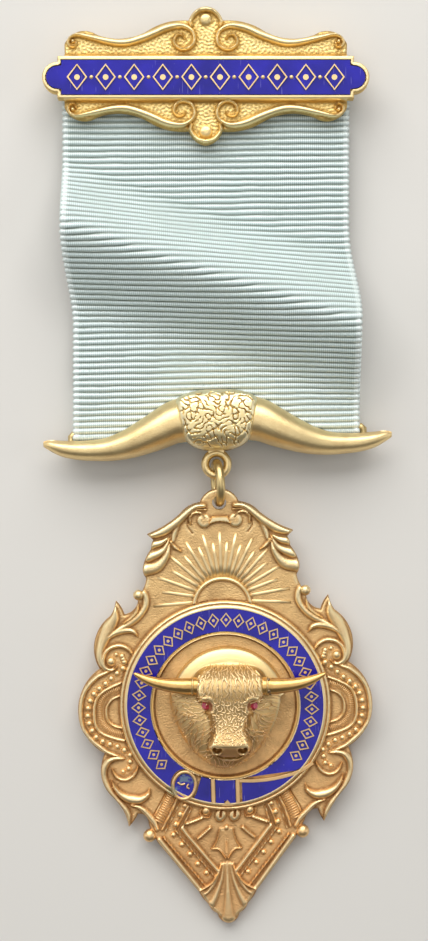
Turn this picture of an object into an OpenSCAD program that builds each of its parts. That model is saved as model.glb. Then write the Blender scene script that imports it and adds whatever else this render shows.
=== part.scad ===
// Fraternal medal: a brooch bar, a ribbon, a suspender shaped as a pair of horns,
// a jump ring and a pendant with an enamelled garter round a bull's head.
// It lies face up: +Z leaves the face, +Y points from the pendant to the bar,
// and the origin is on the surface below the middle of the medal. Sizes are in millimetres.

/* [Layout] */
// Height of the back of the bar and suspender, which leaves room for the folded ribbon
lift = 3.3; // [3.2:0.1:3.6]
// Middle of the bar, across
bar_x = -1.3; // [-1.6:0.1:-1]
// Middle of the bar, up
bar_y = 52; // [51.5:0.1:52.5]
// Middle of the suspender's boss, across
horns_x = 0.2; // [0:0.1:0.4]
// Middle of the suspender's boss, up
horns_y = 6.1; // [6:0.1:6.2]
// Turn of the suspender in the plane of the face, in degrees
horns_turn = 1.65; // [1:0.05:2]
// Turn of the pendant in the plane of the face, in degrees
pendant_turn = 1.7; // [1:0.05:2]
// Middle of the garter, across
pendant_x = 1.3; // [1.2:0.1:1.4]
// Middle of the garter, up
pendant_y = -32; // [-32.1:0.1:-31.9]

/* [Brooch bar] */
// Width of the plaque between its end lobes
plaque_w = 39.4; // [39:0.1:40]
// Height of the plaque
plaque_h = 5.6; // [5.4:0.1:6]
// How far the plaque stands above the middle of the cresting
plaque_y = -0.4; // [-0.5:0.05:0]
// How far an end lobe stands out
plaque_lobe = 2.05; // [1.5:0.05:2.2]
// Width of the gilt edge round the bar's enamel
plaque_edge = 0.45; // [0.35:0.05:0.6]
// Thickness of the cresting's ground
cresting_t = 1.2; // [1:0.1:1.4]
// Height of the scrolls' edge above the back
scroll_t = 1.9; // [1.7:0.1:2.1]
// Height of the plaque above the back
plaque_t = 2.3; // [2.1:0.1:2.5]
// Width of the scrolls' edge
scroll_edge = 0.75; // [0.5:0.05:0.9]

/* [Brooch pin] */
// Radius of the pin
pin_r = 0.45; // [0.4:0.05:0.5]
// Distance between the hinge block and the catch block
pin_span = 31; // [28:1:33]
// Height of the pin above the middle of the bar
pin_y = 3.4; // [3.2:0.1:3.8]
// Side of the two square blocks that hold the pin
block = 2.4; // [2:0.1:2.6]

/* [Ribbon] */
// Width of the ribbon
ribbon_w = 37.7; // [37.2:0.1:38]
// Thickness of the ribbon's wall
ribbon_t = 1; // [1:0.1:1.1]
// Radius of the wires that the ribbon is folded round
wire_r = 0.5; // [0.4:0.05:0.55]
// Height of the soft wave above the flat ribbon
wave_h = 4.4; // [3:0.1:5]
// Length of the wave's steep side, above its crest
wave_up = 9.5; // [8:0.5:10]
// Length of the wave's easy side, below its crest
wave_down = 13; // [11:0.5:13]
// Height on the medal where the crest crosses the middle of the ribbon
wave_y = 25.4; // [24.5:0.1:26]
// Fall of the crest line for each millimetre to the right
wave_slope = 0.333; // [0.2:0.01:0.34]
// Length of the loose end behind each fold
flap = 6; // [4:0.5:7]

/* [Suspender] */
// Thickness of the boss between the horns
boss_t = 4.8; // [4.2:0.1:5.2]
// Outer radius of the eyelet
eyelet_r = 2.05; // [1.9:0.05:2.2]
// Radius of the holes in the eyelet and in the pendant's lug
hole_r = 0.95; // [0.9:0.05:1]
// Thickness of the eyelet
eyelet_t = 1.4; // [1.2:0.1:1.5]

/* [Jump ring] */
// Radius of the ring's wire
ring_wire_r = 0.58; // [0.5:0.02:0.6]
// Lean of the ring from upright, in degrees
ring_lean = 6; // [0:1:8]

/* [Pendant] */
// Thickness of the plate
plate_t = 1.2; // [1:0.1:1.3]
// Height of the raised edge and scrolls above the plate's back
relief_t = 1.75; // [1.6:0.05:1.9]
// Width of the raised edge
rim_w = 0.6; // [0.5:0.05:0.7]
// Outer radius of the garter with its gilt rims
garter_r = 14.2; // [14:0.1:14.4]
// Outer radius of the enamel
enamel_r = 13.2; // [13:0.1:13.3]
// Inner radius of the enamel
enamel_inner_r = 10; // [9.9:0.1:10.2]
// Radius of the sunken middle
well_r = 9.4; // [9.3:0.1:9.5]
// Height of the garter's rims above the plate's back
garter_t = 2.1; // [2:0.05:2.3]
// Depth of the enamel's cells
cell_depth = 0.55; // [0.4:0.05:0.7]
// Radius of the beads
bead_r = 0.33; // [0.25:0.02:0.36]
// Number of rays in the sunburst
rays = 23; // [17:2:25]
// Length of the long rays, from the sun's middle
ray_long = 9.3; // [8.5:0.1:9.5]
// Length of the short rays, from the sun's middle
ray_short = 8.2; // [7:0.1:8.4]
// Radius of the rising sun
sun_r = 3.6; // [3.2:0.1:3.8]

/* [Bull's head] */
// Radius of the domed ground behind the head
dome_r = 7.9; // [7.5:0.1:8.1]
// Height of the domed ground above the plate
dome_h = 1.9; // [1.5:0.1:2.2]
// How far the face stands to the right of the garter's middle
face_x = 0.6; // [0.4:0.1:0.8]
// How far the head stands above the garter's middle
head_y = 0.4; // [0:0.1:0.6]
// Turn of the head on the pendant
head_turn = -1.6; // [-3:0.1:0]
// Radius of each eye stone
stone_r = 0.62; // [0.5:0.02:0.66]

/* [Hidden] */

gilt = "goldenrod";
enamel_blue = [0.16, 0.13, 0.66];
// Clearance between pieces, and the depth by which soldered forms sink into each other
gap = 0.06;
sink = 0.3;
// Longest step along an arc, and smoothness of turned forms
step = 0.8;
turned = 32;

// Columns of an outline: a corner, and how far the arc to the next corner bows out
X = 0;
Y = 1;
BOW = 2;

// Right half of the cresting above the plaque, from the middle lobe to the end
cresting_rows = [
    [0, 9.25, 0.42], [2.25, 7.35, 0.42], [7.4, 6.2, -0.87], [14.6, 5.5, 1.05],
    [18.85, 4.2, 0], [18.8, 2.5, 0]];

// Right half of the pendant, from the top of the lug down to the tip
pendant_rows = [
    [0, 29.05, 0.5], [2.6, 27.3, 0.3], [5.3, 25.85, -0.25], [9.75, 23.25, 0],
    [8.95, 22.45, 0.1], [9.3, 21.2, 0.12], [10.4, 19.1, 0.2], [10.05, 17.3, -0.1],
    [10.7, 15.6, 0], [11.25, 14.5, -0.5], [13.15, 12.5, 0.15], [14.25, 14.4, -0.15],
    [15.1, 12.3, 1.4], [16.65, 5.3, 3.25], [16.35, -6.1, 1.05], [15.3, -12.1, -0.2],
    [13.15, -15.85, 0.1], [12.1, -14.35, -0.4], [10.5, -15.6, 0], [9.3, -17.9, 0],
    [3.9, -24.8, 0.15], [2.65, -26.5, 0.25], [1.45, -27.85, 0.4], [0, -29.2, 0]];

// Scroll ridges on the pendant's right side: start, end, bow, width
ridge_rows = [
    [[13.8, 3.3], [13.4, -4.5], 4.0, 0.5],
    [[14.2, 1.9], [13.9, -2.7], 1.9, 0.4],
    [[12.1, 7.2], [16.2, 6.3], 1.9, 0.5],
    [[16.2, 6.3], [14.9, 5.1], 0.4, 0.5],
    [[11.5, 9.8], [16.6, 8.2], 1.6, 0.8],
    [[16, -9.3], [10.4, -10.9], 1.7, 0.95],
    [[15.3, -8.7], [11.8, -8.1], 1.3, 0.45],
    [[2.6, 26.4], [8.6, 21.3], 0.7, 0.5],
    [[8.6, 21.3], [5.2, 19.6], 1.1, 0.6],
    [[7.7, 22.2], [9.3, 19.2], 0.4, 0.4],
    [[7.6, 21.4], [9.6, 17.9], 0.9, 0.4]];

// Straight ridges in the pendant's point: start, end, width
bar_rows = [
    [[8.4, -17.4], [3.3, -24], 0.3],
    [[6, -16.2], [1.6, -22], 0.4],
    [[4.7, -14.3], [6, -16.2], 0.35],
    [[3.6, -15], [4.9, -15.6], 0.4],
    [[2.3, -16.3], [3.3, -17.2], 0.4],
    [[0.6, -16.8], [2, -19.6], 0.3],
    [[2, -19.6], [0.2, -21.2], 0.3]];

// Rows of beads on the right side: start, end, bow, count
bead_rows = [
    [[13.6, 7], [13.35, 6.2], 0, 2],
    [[13.55, 5.35], [17.15, 2.4], 0, 5],
    [[17.8, 1.6], [18.1, -2.5], 0.5, 5],
    [[17.75, -3.35], [13.7, -5.7], 0.3, 6],
    [[12.95, -6.4], [13.2, -8.2], 0, 3],
    [[5.8, -13.45], [7.1, -16.95], 0.2, 4],
    [[6, -18.3], [2.8, -22.25], 0, 4]];

// Round knobs on the right side: across, up, height of the middle, radius
knob_rows = [
    [15.1, 6.35, 1.2, 0.6], [14.9, -6.9, 1.2, 0.5], [11.15, 15.35, 0.9, 0.78], [10.25, -17, 0.9, 0.9],
    [0.2, -16.1, 1.2, 0.45], [1.95, -15, 1.2, 0.4]];

// Horns of the suspender: distance out, upper edge, lower edge, thickness
horn_rows = [
    [3.5, 3.2, -2.6, 4.2], [5.5, 2.85, -2.95, 4.1], [7, 2.3, -3.5, 3.95],
    [9, 1.05, -4.1, 3.7], [11, -0.2, -4.6, 3.3], [13, -1.3, -4.9, 2.8],
    [15, -2.05, -5, 2.4], [17, -2.3, -4.9, 2.1], [19, -2.35, -4.7, 1.9],
    [21, -2.25, -4.2, 1.6], [22.5, -2.15, -3.4, 1.1], [23.3, -2.35, -2.85, 0.5]];

// Boss of the suspender: height on the face, half width, share of its full thickness
boss_rows = [
    [4.15, 1.2, 0.3], [3.85, 3.2, 0.5], [3.4, 4.6, 0.68], [2.7, 5.45, 0.85],
    [1.4, 5.4, 0.98], [-0.4, 5, 1], [-1.8, 4.65, 0.92], [-2.7, 4.2, 0.78],
    [-3.4, 3.4, 0.6], [-3.9, 2.3, 0.42], [-4.2, 0.9, 0.25]];

// Fur behind the face: height on the face, half width, height above the plate
ruff_rows = [
    [2.5, 5.6, 1.9], [1.9, 7.2, 2.3], [0.9, 7.45, 2.6], [-0.7, 7.25, 2.8],
    [-2.4, 6.7, 3], [-4.05, 6, 3], [-6.05, 4.7, 2.8], [-7.3, 3.4, 2.4],
    [-8.1, 2.3, 1.9], [-8.6, 1.2, 1.4], [-8.8, 0.5, 1.1]];

// Face: height on the face, half width, height above the plate
face_rows = [
    [5.25, 3.4, 2.9], [4.85, 4.5, 3.9], [3.9, 4.8, 4.8], [2.2, 4.6, 5.2],
    [1, 4.3, 5.2], [0.1, 3.9, 5.2], [-0.9, 3, 5.2], [-1.9, 2.4, 5.3], [-3.1, 2.2, 5.6],
    [-4, 2.3, 5.9], [-4.9, 2.55, 6.3], [-5.6, 2.65, 6.1], [-6.3, 2.4, 5.2],
    [-6.9, 1.8, 4.1], [-7.3, 0.9, 3.2]];

// Horns on the head: distance out, height on the face, height above the plate, radius
head_horn_rows = [
    [3, 2.6, 2.9, 1.15], [4.6, 2.6, 2.9, 1.15], [6.4, 2.65, 3.1, 1.05],
    [8.2, 2.85, 3.35, 0.92], [9.8, 3.2, 3.6, 0.78], [11.2, 3.7, 3.8, 0.58],
    [12.4, 4.3, 3.95, 0.3]];

// Derived places
back_z = ribbon_t + wire_r + 0.1;
fold_r = wire_r + 0.1 + ribbon_t / 2;
side_room = 0.3;
front_z = back_z + fold_r;
bar_wire_y = -1.2;
horn_wire_y = -1.4;
fold_top = bar_y + bar_wire_y;
fold_low = horns_y + horn_wire_y;
eyelet_at = [-0.24, -5.9];
lug_at = [0, 27.2];
bite = 0.2;
ring_z = lift + eyelet_t / 2 - bite;

// Where a point of a turned piece comes on the medal
function turned_point(p, angle) =
    [p[X] * cos(angle) - p[Y] * sin(angle), p[X] * sin(angle) + p[Y] * cos(angle)];
eyelet_on_medal = [horns_x, horns_y] + turned_point(eyelet_at, horns_turn);
lug_on_medal = [pendant_x, pendant_y] + turned_point(lug_at, pendant_turn);
ring_mid = (eyelet_on_medal + lug_on_medal) / 2;
ring_r = norm(eyelet_on_medal - lug_on_medal) / 2 + 0.15;
ring_angle = atan2(eyelet_on_medal[Y] - lug_on_medal[Y], eyelet_on_medal[X] - lug_on_medal[X]);

// The pendant's tip rests on the surface, and its lug hangs at the ring's height
tip_y = pendant_rows[len(pendant_rows) - 1][Y];
pendant_tilt = asin((ring_z - plate_t / 2) / (lug_at[Y] - tip_y));

function last(list) = list[len(list) - 1];
function mirrored(points) = [for (p = points) [-p[X], p[Y]]];
function reversed(list) = [for (i = [len(list) - 1 : -1 : 0]) list[i]];
function smooth_step(t) = let (u = min(1, max(0, t))) u * u * (3 - 2 * u);

// Points from a towards b along an arc that bows out by bow on the left, without b itself
function arc_points(a, b, bow) =
    let (chord = norm(b - a), count = max(1, ceil((chord + abs(bow)) / step)))
    abs(bow) < 0.01
        ? [a]
        : let (
              half = 2 * atan(2 * bow / chord),
              radius = chord / 2 / sin(half),
              left = [a[Y] - b[Y], b[X] - a[X]] / chord,
              along = (b - a) / chord,
              middle = (a + b) / 2 - left * radius * cos(half))
          [for (i = [0 : count - 1])
              let (angle = half * (2 * i / count - 1))
              middle + radius * (sin(angle) * along + cos(angle) * left)];

// Half an outline from its rows, and the whole from its half
function half_outline(rows) = concat(
    [for (i = [0 : len(rows) - 2])
        let (a = [rows[i][X], rows[i][Y]], b = [rows[i + 1][X], rows[i + 1][Y]])
        each arc_points(a, b, rows[i][BOW])],
    [[last(rows)[X], last(rows)[Y]]]);
function whole_outline(rows) =
    let (half = half_outline(rows))
    concat(half, mirrored(reversed([for (p = half) if (p[X] > 0) p])));

// Band of a given width along an arc
function band(a, b, bow, width) =
    let (
        line = concat(arc_points(a, b, bow), [b]),
        end = len(line) - 1,
        side = [for (i = [0 : end])
            let (d = line[min(i + 1, end)] - line[max(i - 1, 0)])
            [-d[Y], d[X]] / norm(d) * width / 2])
    concat(
        [for (i = [0 : end]) line[i] + side[i]],
        [for (i = [end : -1 : 0]) line[i] - side[i]]);

// Spiral band from radius r1 at angle a1 to radius r2 at angle a2
function spiral(r1, a1, r2, a2, width) =
    let (count = ceil(abs(a2 - a1) / 20))
    concat(
        [for (i = [0 : count])
            let (t = i / count, a = a1 + (a2 - a1) * t, r = r1 + (r2 - r1) * t + width / 2)
            r * [cos(a), sin(a)]],
        [for (i = [count : -1 : 0])
            let (t = i / count, a = a1 + (a2 - a1) * t, r = r1 + (r2 - r1) * t - width / 2)
            r * [cos(a), sin(a)]]);

// Triangles over one end of a loft, whose ring starts at index first
function cap(first, per) =
    [for (j = [0 : per / 2 - 2])
        let (a = first + j, b = first + per - 1 - j)
        each [[a, b, a + 1], [a + 1, b, b - 1]]];
function turned_round(faces) = [for (f = faces) reversed(f)];

// Closed solid through rings that all have the same even number of points
module loft(rings) {
    per = len(rings[0]);
    count = len(rings);
    sides = [for (i = [0 : count - 2], j = [0 : per - 1])
        let (a = i * per + j, b = i * per + (j + 1) % per)
        each [[a, b, b + per], [a, b + per, a + per]]];
    faces = concat(sides, cap(0, per), turned_round(cap((count - 1) * per, per)));
    facing = cross(rings[0][1] - rings[0][0], rings[0][per / 2] - rings[0][0]) * (rings[1][0] - rings[0][0]);
    polyhedron([for (ring = rings) each ring], facing > 0 ? turned_round(faces) : faces, convexity = 6);
}

// Domed section with a flat back: half width, height, and how square its shoulders are
function dome_section(half, height, square = 1) =
    [for (i = [0 : 15])
        let (a = 180 * i / 15, c = cos(a))
        [half * sign(c) * pow(abs(c), square), height * pow(abs(sin(a)), square)]];

module both_sides() {
    children();
    mirror([1, 0, 0]) children();
}

module raised(height) {
    linear_extrude(height) children();
}

module on_bar() {
    translate([bar_x, bar_y, lift]) children();
}

module on_horns() {
    translate([horns_x, horns_y, lift]) rotate(horns_turn) children();
}

// The pendant's frame: garter in the middle, back at zero, raised towards the ring
module on_pendant() {
    translate([pendant_x, pendant_y, 0])
        rotate(pendant_turn)
            translate([0, tip_y, 0])
                rotate([pendant_tilt, 0, 0])
                    translate([0, -tip_y, 0]) children();
}

// Plaque's outline, drawn in from its edge by inset
module plaque_outline(inset) {
    half_w = plaque_w / 2;
    half_h = plaque_h / 2;
    lobe_h = 2;
    translate([0, plaque_y]) offset(delta = -inset) polygon(whole_outline([
        [0, half_h, 0], [half_w, half_h, 0], [half_w, lobe_h, plaque_lobe],
        [half_w, -lobe_h, 0], [half_w, -half_h, 0], [0, -half_h, 0]]));
}

module cresting_outline() {
    upper = half_outline(cresting_rows);
    right = concat(upper, [for (p = reversed(upper)) [p[X], -p[Y]]]);
    polygon(concat(right, mirrored(reversed([for (p = right) if (p[X] > 0) p]))));
}

// Wire that a ribbon is folded round, its ends turned back under the metal that carries it
module ribbon_wire(wire_y, foot_y) {
    half = ribbon_w / 2 + side_room + wire_r;
    low = back_z - lift;
    translate([-half, wire_y, low]) rotate([0, 90, 0]) cylinder(h = 2 * half, r = wire_r, $fn = turned);
    both_sides() {
        translate([half, wire_y, low]) sphere(wire_r, $fn = turned);
        translate([half, wire_y, low]) rotate([foot_y > wire_y ? -90 : 90, 0, 0])
            cylinder(h = abs(foot_y - wire_y), r = wire_r, $fn = turned);
        translate([half, foot_y, low]) sphere(wire_r, $fn = turned);
        translate([half, foot_y, low]) cylinder(h = sink - low, r = wire_r, $fn = turned);
    }
}

// Block on the back of the bar that holds one end of the pin
module pin_block(at_x) {
    difference() {
        translate([at_x - block / 2, pin_y - block / 2, -lift])
            cube([block, block, lift + sink]);
        translate([at_x - block, pin_y, back_z - lift]) rotate([0, 90, 0])
            cylinder(h = 2 * block, r = pin_r + gap, $fn = turned);
    }
}

module brooch_bar() {
    volute_at = [2.9, 4.7];
    end_volute_at = [17.6, 4.35];
    color(gilt) on_bar() difference() {
        union() {
            raised(cresting_t) cresting_outline();
            raised(scroll_t) difference() {
                cresting_outline();
                offset(delta = -scroll_edge) cresting_outline();
            }
            for (flip = [0, 1]) mirror([0, flip, 0]) both_sides() {
                translate(volute_at) raised(scroll_t + 0.1) polygon(spiral(1.35, 100, 0.3, -420, 0.5));
                translate(end_volute_at) raised(scroll_t + 0.1) polygon(spiral(0.7, 130, 0.2, 480, 0.42));
            }
            raised(plaque_t) plaque_outline(0);
            for (side = [-1, 1]) pin_block(side * pin_span / 2);
            ribbon_wire(bar_wire_y, 0.6);
        }
        translate([0, 0, plaque_t - cell_depth]) raised(cell_depth + 1) plaque_outline(plaque_edge);
    }
}

module bar_enamel() {
    color(enamel_blue) on_bar() translate([0, 0, plaque_t - cell_depth + gap])
        raised(cell_depth - 2 * gap) plaque_outline(plaque_edge + gap);
}

// Straight pin, closed in its two blocks
module brooch_pin() {
    over = block / 2 + 0.8;
    color("gold") on_bar() translate([0, pin_y, back_z - lift]) {
        translate([-pin_span / 2 - over, 0, 0]) rotate([0, 90, 0])
            cylinder(h = pin_span + 2 * over, r = pin_r, $fn = turned);
        translate([-pin_span / 2 - over, 0, 0]) sphere(pin_r + 0.2, $fn = turned);
    }
}

// Height of the ribbon's wave at a place on the medal
function wave(x, y) =
    let (
        above = y - (wave_y - wave_slope * x),
        t = above > 0 ? above / wave_up : above / wave_down)
    abs(t) < 1 ? wave_h * pow(1 - t * t, 2) : 0;

// Middle of the ribbon across, which steps to the right as it falls over the wave
function ribbon_mid(y) = bar_x + (horns_x - 0.1 - bar_x) * smooth_step((32 - y) / 13);

// Ribbon's path: distance up, height, and share of the suspender's turn
fold_steps = 6;
run_steps = 30;
function fold_point(y, z, angle, share) = [y + fold_r * cos(angle), z + fold_r * sin(angle), share];
ribbon_path = concat(
    [for (i = [0 : 2]) [fold_top - flap * (1 - i / 3), back_z - fold_r, 0]],
    [for (i = [0 : fold_steps]) fold_point(fold_top, back_z, 180 * i / fold_steps - 90, 0)],
    [for (i = [1 : run_steps - 1])
        let (t = i / run_steps)
        [fold_top + (fold_low - fold_top) * t, front_z, t]],
    [for (i = [0 : fold_steps]) fold_point(fold_low, back_z, 90 + 180 * i / fold_steps, 1)],
    [for (i = [1 : 3]) [fold_low + flap * i / 3, back_z - fold_r, 1]]);

// Point of the ribbon's middle surface: u goes across it from -1 to 1
function ribbon_point(row, u) =
    let (
        x = ribbon_mid(row[0]) + u * ribbon_w / 2,
        y = row[0] + row[2] * (x - horns_x) * sin(horns_turn),
        z = row[1] + (row[1] == front_z ? wave(x, y) : 0))
    [x, y, z];

module ribbon() {
    across = 10;
    end = len(ribbon_path) - 1;
    mid = [for (row = ribbon_path) [for (j = [0 : across]) ribbon_point(row, 2 * j / across - 1)]];
    normal = [for (i = [0 : end]) [for (j = [0 : across])
        let (
            down = mid[min(i + 1, end)][j] - mid[max(i - 1, 0)][j],
            over = mid[i][min(j + 1, across)] - mid[i][max(j - 1, 0)],
            n = cross(down, over))
        n / norm(n) * ribbon_t / 2]];
    rings = [for (i = [0 : end]) concat(
        [for (j = [0 : across]) mid[i][j] - normal[i][j]],
        [for (j = [across : -1 : 0]) mid[i][j] + normal[i][j]])];
    color([0.72, 0.83, 0.8]) loft(rings);
}

module suspender_horn() {
    loft([for (row = horn_rows)
        [for (p = dome_section((row[1] - row[2]) / 2, row[3], 0.8))
            [row[0], (row[1] + row[2]) / 2 + p[0], p[1]]]]);
}

module horn_suspender() {
    color(gilt) on_horns() {
        difference() {
            union() {
                both_sides() suspender_horn();
                loft([for (row = boss_rows)
                    [for (p = dome_section(row[1], boss_t * row[2], 0.75)) [-p[0], row[0], p[1]]]]);
                translate([eyelet_at[X], eyelet_at[Y], -bite]) cylinder(h = eyelet_t, r = eyelet_r, $fn = turned);
                translate([eyelet_at[X] - 1, eyelet_at[Y] + 1, -bite]) cube([2, 2.5, eyelet_t]);
            }
            translate([eyelet_at[X], eyelet_at[Y], -1]) cylinder(h = eyelet_t + 3, r = hole_r, $fn = turned);
        }
        ribbon_wire(horn_wire_y, -3.4);
    }
}

module jump_ring() {
    color("darkgoldenrod")
        translate([ring_mid[X], ring_mid[Y], ring_z])
            rotate(ring_angle)
                rotate([90 - ring_lean, 0, 0])
                    rotate_extrude($fn = 48) translate([ring_r, 0]) circle(ring_wire_r, $fn = turned);
}

module pendant_outline() {
    polygon(whole_outline(pendant_rows));
}

module ring_shape(outer, inner) {
    difference() {
        circle(outer, $fn = 96);
        circle(inner, $fn = 96);
    }
}

// Gilt walls that part the garter's enamel, and the shape of each cell
loop_wall = [-1.95, 1.35];
wall_w = 0.55;
buckle_at = [-5.8, -10.55];
strap_edge = [[1.6, -10.15], [9.2, -9.3], [11.5, -8.2]];

// Half plane left of a line at x, or right of it when side is 1
module half_plane(x, side) {
    translate([x + side * 20, 0]) square([40, 60], center = true);
}

module below_strap() {
    polygon(concat(strap_edge, [[20, -8.2], [20, -20], [1.6, -20]]));
}

module cell_band(inset) {
    ring_shape(enamel_r - inset, enamel_inner_r + inset);
}

// Cells, drawn in by inset: the strap, the tail of the strap and the two loop cells
module strap_cell(inset) {
    difference() {
        cell_band(inset);
        offset(delta = inset + wall_w / 2) below_strap();
        intersection() {
            offset(delta = inset) half_plane(loop_wall[1] + wall_w / 2, -1);
            offset(delta = inset) polygon([[0, 0], [-7.6, -13], [-7.6, -20], [30, -20], [1.7, -6]]);
        }
        translate(buckle_at) scale([1, 1.2]) circle(1.8 + inset, $fn = turned);
    }
}

module tail_cell(inset) {
    intersection() {
        cell_band(inset);
        offset(delta = -inset - wall_w / 2) below_strap();
        half_plane(loop_wall[1] + wall_w / 2 + inset, 1);
    }
}

module loop_middle_cell(inset) {
    difference() {
        intersection() {
            cell_band(inset);
            translate([0, -12]) half_plane(loop_wall[0] + wall_w / 2 + inset, 1);
            translate([0, -12]) half_plane(loop_wall[1] - wall_w / 2 - inset, -1);
            translate([0, -12]) square([10, 10], center = true);
        }
        offset(delta = inset) translate([-0.1, -13.4]) circle(0.7, $fn = 3);
    }
}

module loop_left_cell(inset) {
    difference() {
        intersection() {
            cell_band(inset);
            half_plane(loop_wall[0] - wall_w / 2 - inset, -1);
            offset(delta = -inset) polygon([[0, 0], [-5.2, -14], [0, -20]]);
        }
        translate(buckle_at) scale([1, 1.2]) circle(1.8 + inset, $fn = turned);
    }
}

module garter_cells(inset) {
    strap_cell(inset);
    tail_cell(inset);
    loop_middle_cell(inset);
    loop_left_cell(inset);
}

module enamel_piece() {
    color(enamel_blue) on_pendant() translate([0, 0, garter_t - cell_depth + gap])
        raised(cell_depth - 2 * gap) children();
}

module garter_strap() {
    enamel_piece() strap_cell(gap);
}

module garter_tail() {
    enamel_piece() tail_cell(gap);
}

module garter_loop_middle() {
    enamel_piece() loop_middle_cell(gap);
}

module garter_loop_left() {
    enamel_piece() loop_left_cell(gap);
}

module bead(p, r) {
    translate([p[X], p[Y], plate_t]) sphere(r, $fn = 16);
}

module sunburst() {
    sun_at = [0, 13.3];
    spread = 176;
    ray_w = 0.3;
    first = sun_r + 0.3;
    intersection() {
        translate(sun_at) raised(relief_t) circle(sun_r, $fn = 64);
        translate([-sun_r, garter_r - sink, 0]) cube([2 * sun_r, sun_r, 2 * relief_t]);
    }
    for (i = [0 : rays - 1]) {
        angle = (180 - spread) / 2 + spread * i / (rays - 1);
        length = i % 2 == 0 ? ray_short : ray_long;
        translate(sun_at) rotate(angle) translate([first, -ray_w / 2, 0])
            cube([length - first, ray_w, relief_t - 0.15]);
    }
}

// Stack of short bars across the panel beside the garter
module pilaster() {
    at = [8.4, -13.9];
    pitch = [0.19, -0.36];
    bar = [1.3, 0.2];
    for (i = [-4 : 4]) {
        translate(at + pitch * i) rotate(27)
            translate([-bar[X] / 2, -bar[Y] / 2, 0]) cube([bar[X], bar[Y], relief_t - 0.2]);
    }
}

// Five flutes that spread towards the tip
module palmette() {
    root_y = -21.4;
    flute_w = 0.5;
    near = 1;
    far = 7.2;
    for (angle = [-26 : 13 : 26]) {
        reach = far - abs(angle) / 10;
        translate([0, root_y, 0]) rotate(angle) translate([-flute_w / 2, -reach, 0])
            cube([flute_w, reach - near, relief_t - 0.1]);
    }
}

module pendant_plate() {
    volute_at = [2.15, 24.6];
    lug_pad = [5.4, 4.4];
    color(gilt) on_pendant() difference() {
        union() {
            raised(plate_t) pendant_outline();
            raised(relief_t) difference() {
                pendant_outline();
                offset(delta = -rim_w) pendant_outline();
                translate(lug_at) square(lug_pad, center = true);
            }
            raised(garter_t) ring_shape(garter_r, well_r);
            both_sides() {
                for (row = ridge_rows) raised(relief_t - 0.05) polygon(band(row[0], row[1], row[2], row[3]));
                for (row = bar_rows) raised(relief_t - 0.1) polygon(band(row[0], row[1], 0, row[2]));
                for (row = bead_rows) {
                    line = concat(arc_points(row[0], row[1], row[2]), [row[1]]);
                    for (i = [0 : row[3] - 1]) bead(point_along(line, i / (row[3] - 1)), bead_r);
                }
                for (row = knob_rows) translate([row[0], row[1], row[2]]) sphere(row[3], $fn = turned);
                translate(volute_at) raised(relief_t) polygon(spiral(0.95, 60, 0.25, 420, 0.45));
                pilaster();
            }
            sunburst();
            palmette();
        }
        translate([0, 0, garter_t - cell_depth]) raised(2) garter_cells(0);
        translate([lug_at[X], lug_at[Y], -1]) cylinder(h = 5, r = hole_r, $fn = turned);
    }
}

// Length of a polyline up to each point, and the point a share of the way along it
function run(line) = [for (i = 0, s = 0; i < len(line);
    i = i + 1, s = s + (i < len(line) ? norm(line[i] - line[i - 1]) : 0)) s];
function point_along(line, share) =
    let (
        s = run(line),
        want = share * last(s),
        i = max([for (k = [0 : len(line) - 2]) if (s[k] <= want) k]))
    line[i] + (line[i + 1] - line[i]) * (want - s[i]) / (s[i + 1] - s[i]);

// Smooth form along the head, which starts at base inside the domed ground:
// rows of height on the face, half width and height above the plate
module head_form(rows, base) {
    loft([for (row = rows)
        [for (p = dome_section(row[1], row[2] - base, 0.8)) [-p[0], row[0], base + p[1]]]]);
}

module head_horn() {
    loft([for (row = head_horn_rows) [for (i = [0 : 9])
        [row[0], row[1] + row[3] * cos(36 * i), row[2] + row[3] * sin(36 * i)]]]);
}

// Half the distance between the eyes, their height on the face and above the plate, and their lean
eye_spacing = 3.15;
eye_y = 0.15;
eye_z = 3.7;
eye_lean = 32;
// Heights at which the fur and the face start inside the domed ground
ruff_base = 0.35;
face_base = 0.6;

module head_place() {
    translate([0, head_y, 0]) rotate(head_turn) children();
}

module eye_place(side) {
    head_place() translate([face_x + side * eye_spacing, eye_y, plate_t + eye_z])
        rotate([0, side * eye_lean, 0]) children();
}

module bull_head() {
    dome_ball = (dome_r * dome_r + dome_h * dome_h) / (2 * dome_h);
    dome_at = [0.4, 0.1, 0];
    color(gilt) on_pendant() difference() {
        translate([0, 0, plate_t + gap]) {
            translate(dome_at) intersection() {
                translate([0, 0, dome_h - dome_ball]) sphere(dome_ball, $fn = 96);
                cylinder(h = dome_h + 1, r = dome_r, $fn = 96);
            }
            head_place() {
                head_form(ruff_rows, ruff_base);
                translate([face_x, 0, 0]) {
                    head_form(face_rows, face_base);
                    both_sides() head_horn();
                }
            }
        }
        for (side = [-1, 1]) eye_place(side) translate([0, 0, -0.5]) cylinder(h = 3, r = stone_r + gap, $fn = turned);
    }
}

// Cut stone: eight-sided, with a table, a crown and a shallow pavilion
module stone() {
    crown = 0.35;
    belt = 0.15;
    pavilion = 0.22;
    color("crimson") {
        translate([0, 0, -pavilion]) cylinder(h = pavilion, r1 = stone_r * 0.3, r2 = stone_r, $fn = 8);
        cylinder(h = belt, r = stone_r, $fn = 8);
        translate([0, 0, belt]) cylinder(h = crown, r1 = stone_r, r2 = stone_r * 0.6, $fn = 8);
    }
}

module eye_left() {
    on_pendant() eye_place(-1) stone();
}

module eye_right() {
    on_pendant() eye_place(1) stone();
}

brooch_bar();
bar_enamel();
brooch_pin();
ribbon();
horn_suspender();
jump_ring();
pendant_plate();
garter_strap();
garter_tail();
garter_loop_left();
garter_loop_middle();
bull_head();
eye_left();
eye_right();
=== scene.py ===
import math

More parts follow.
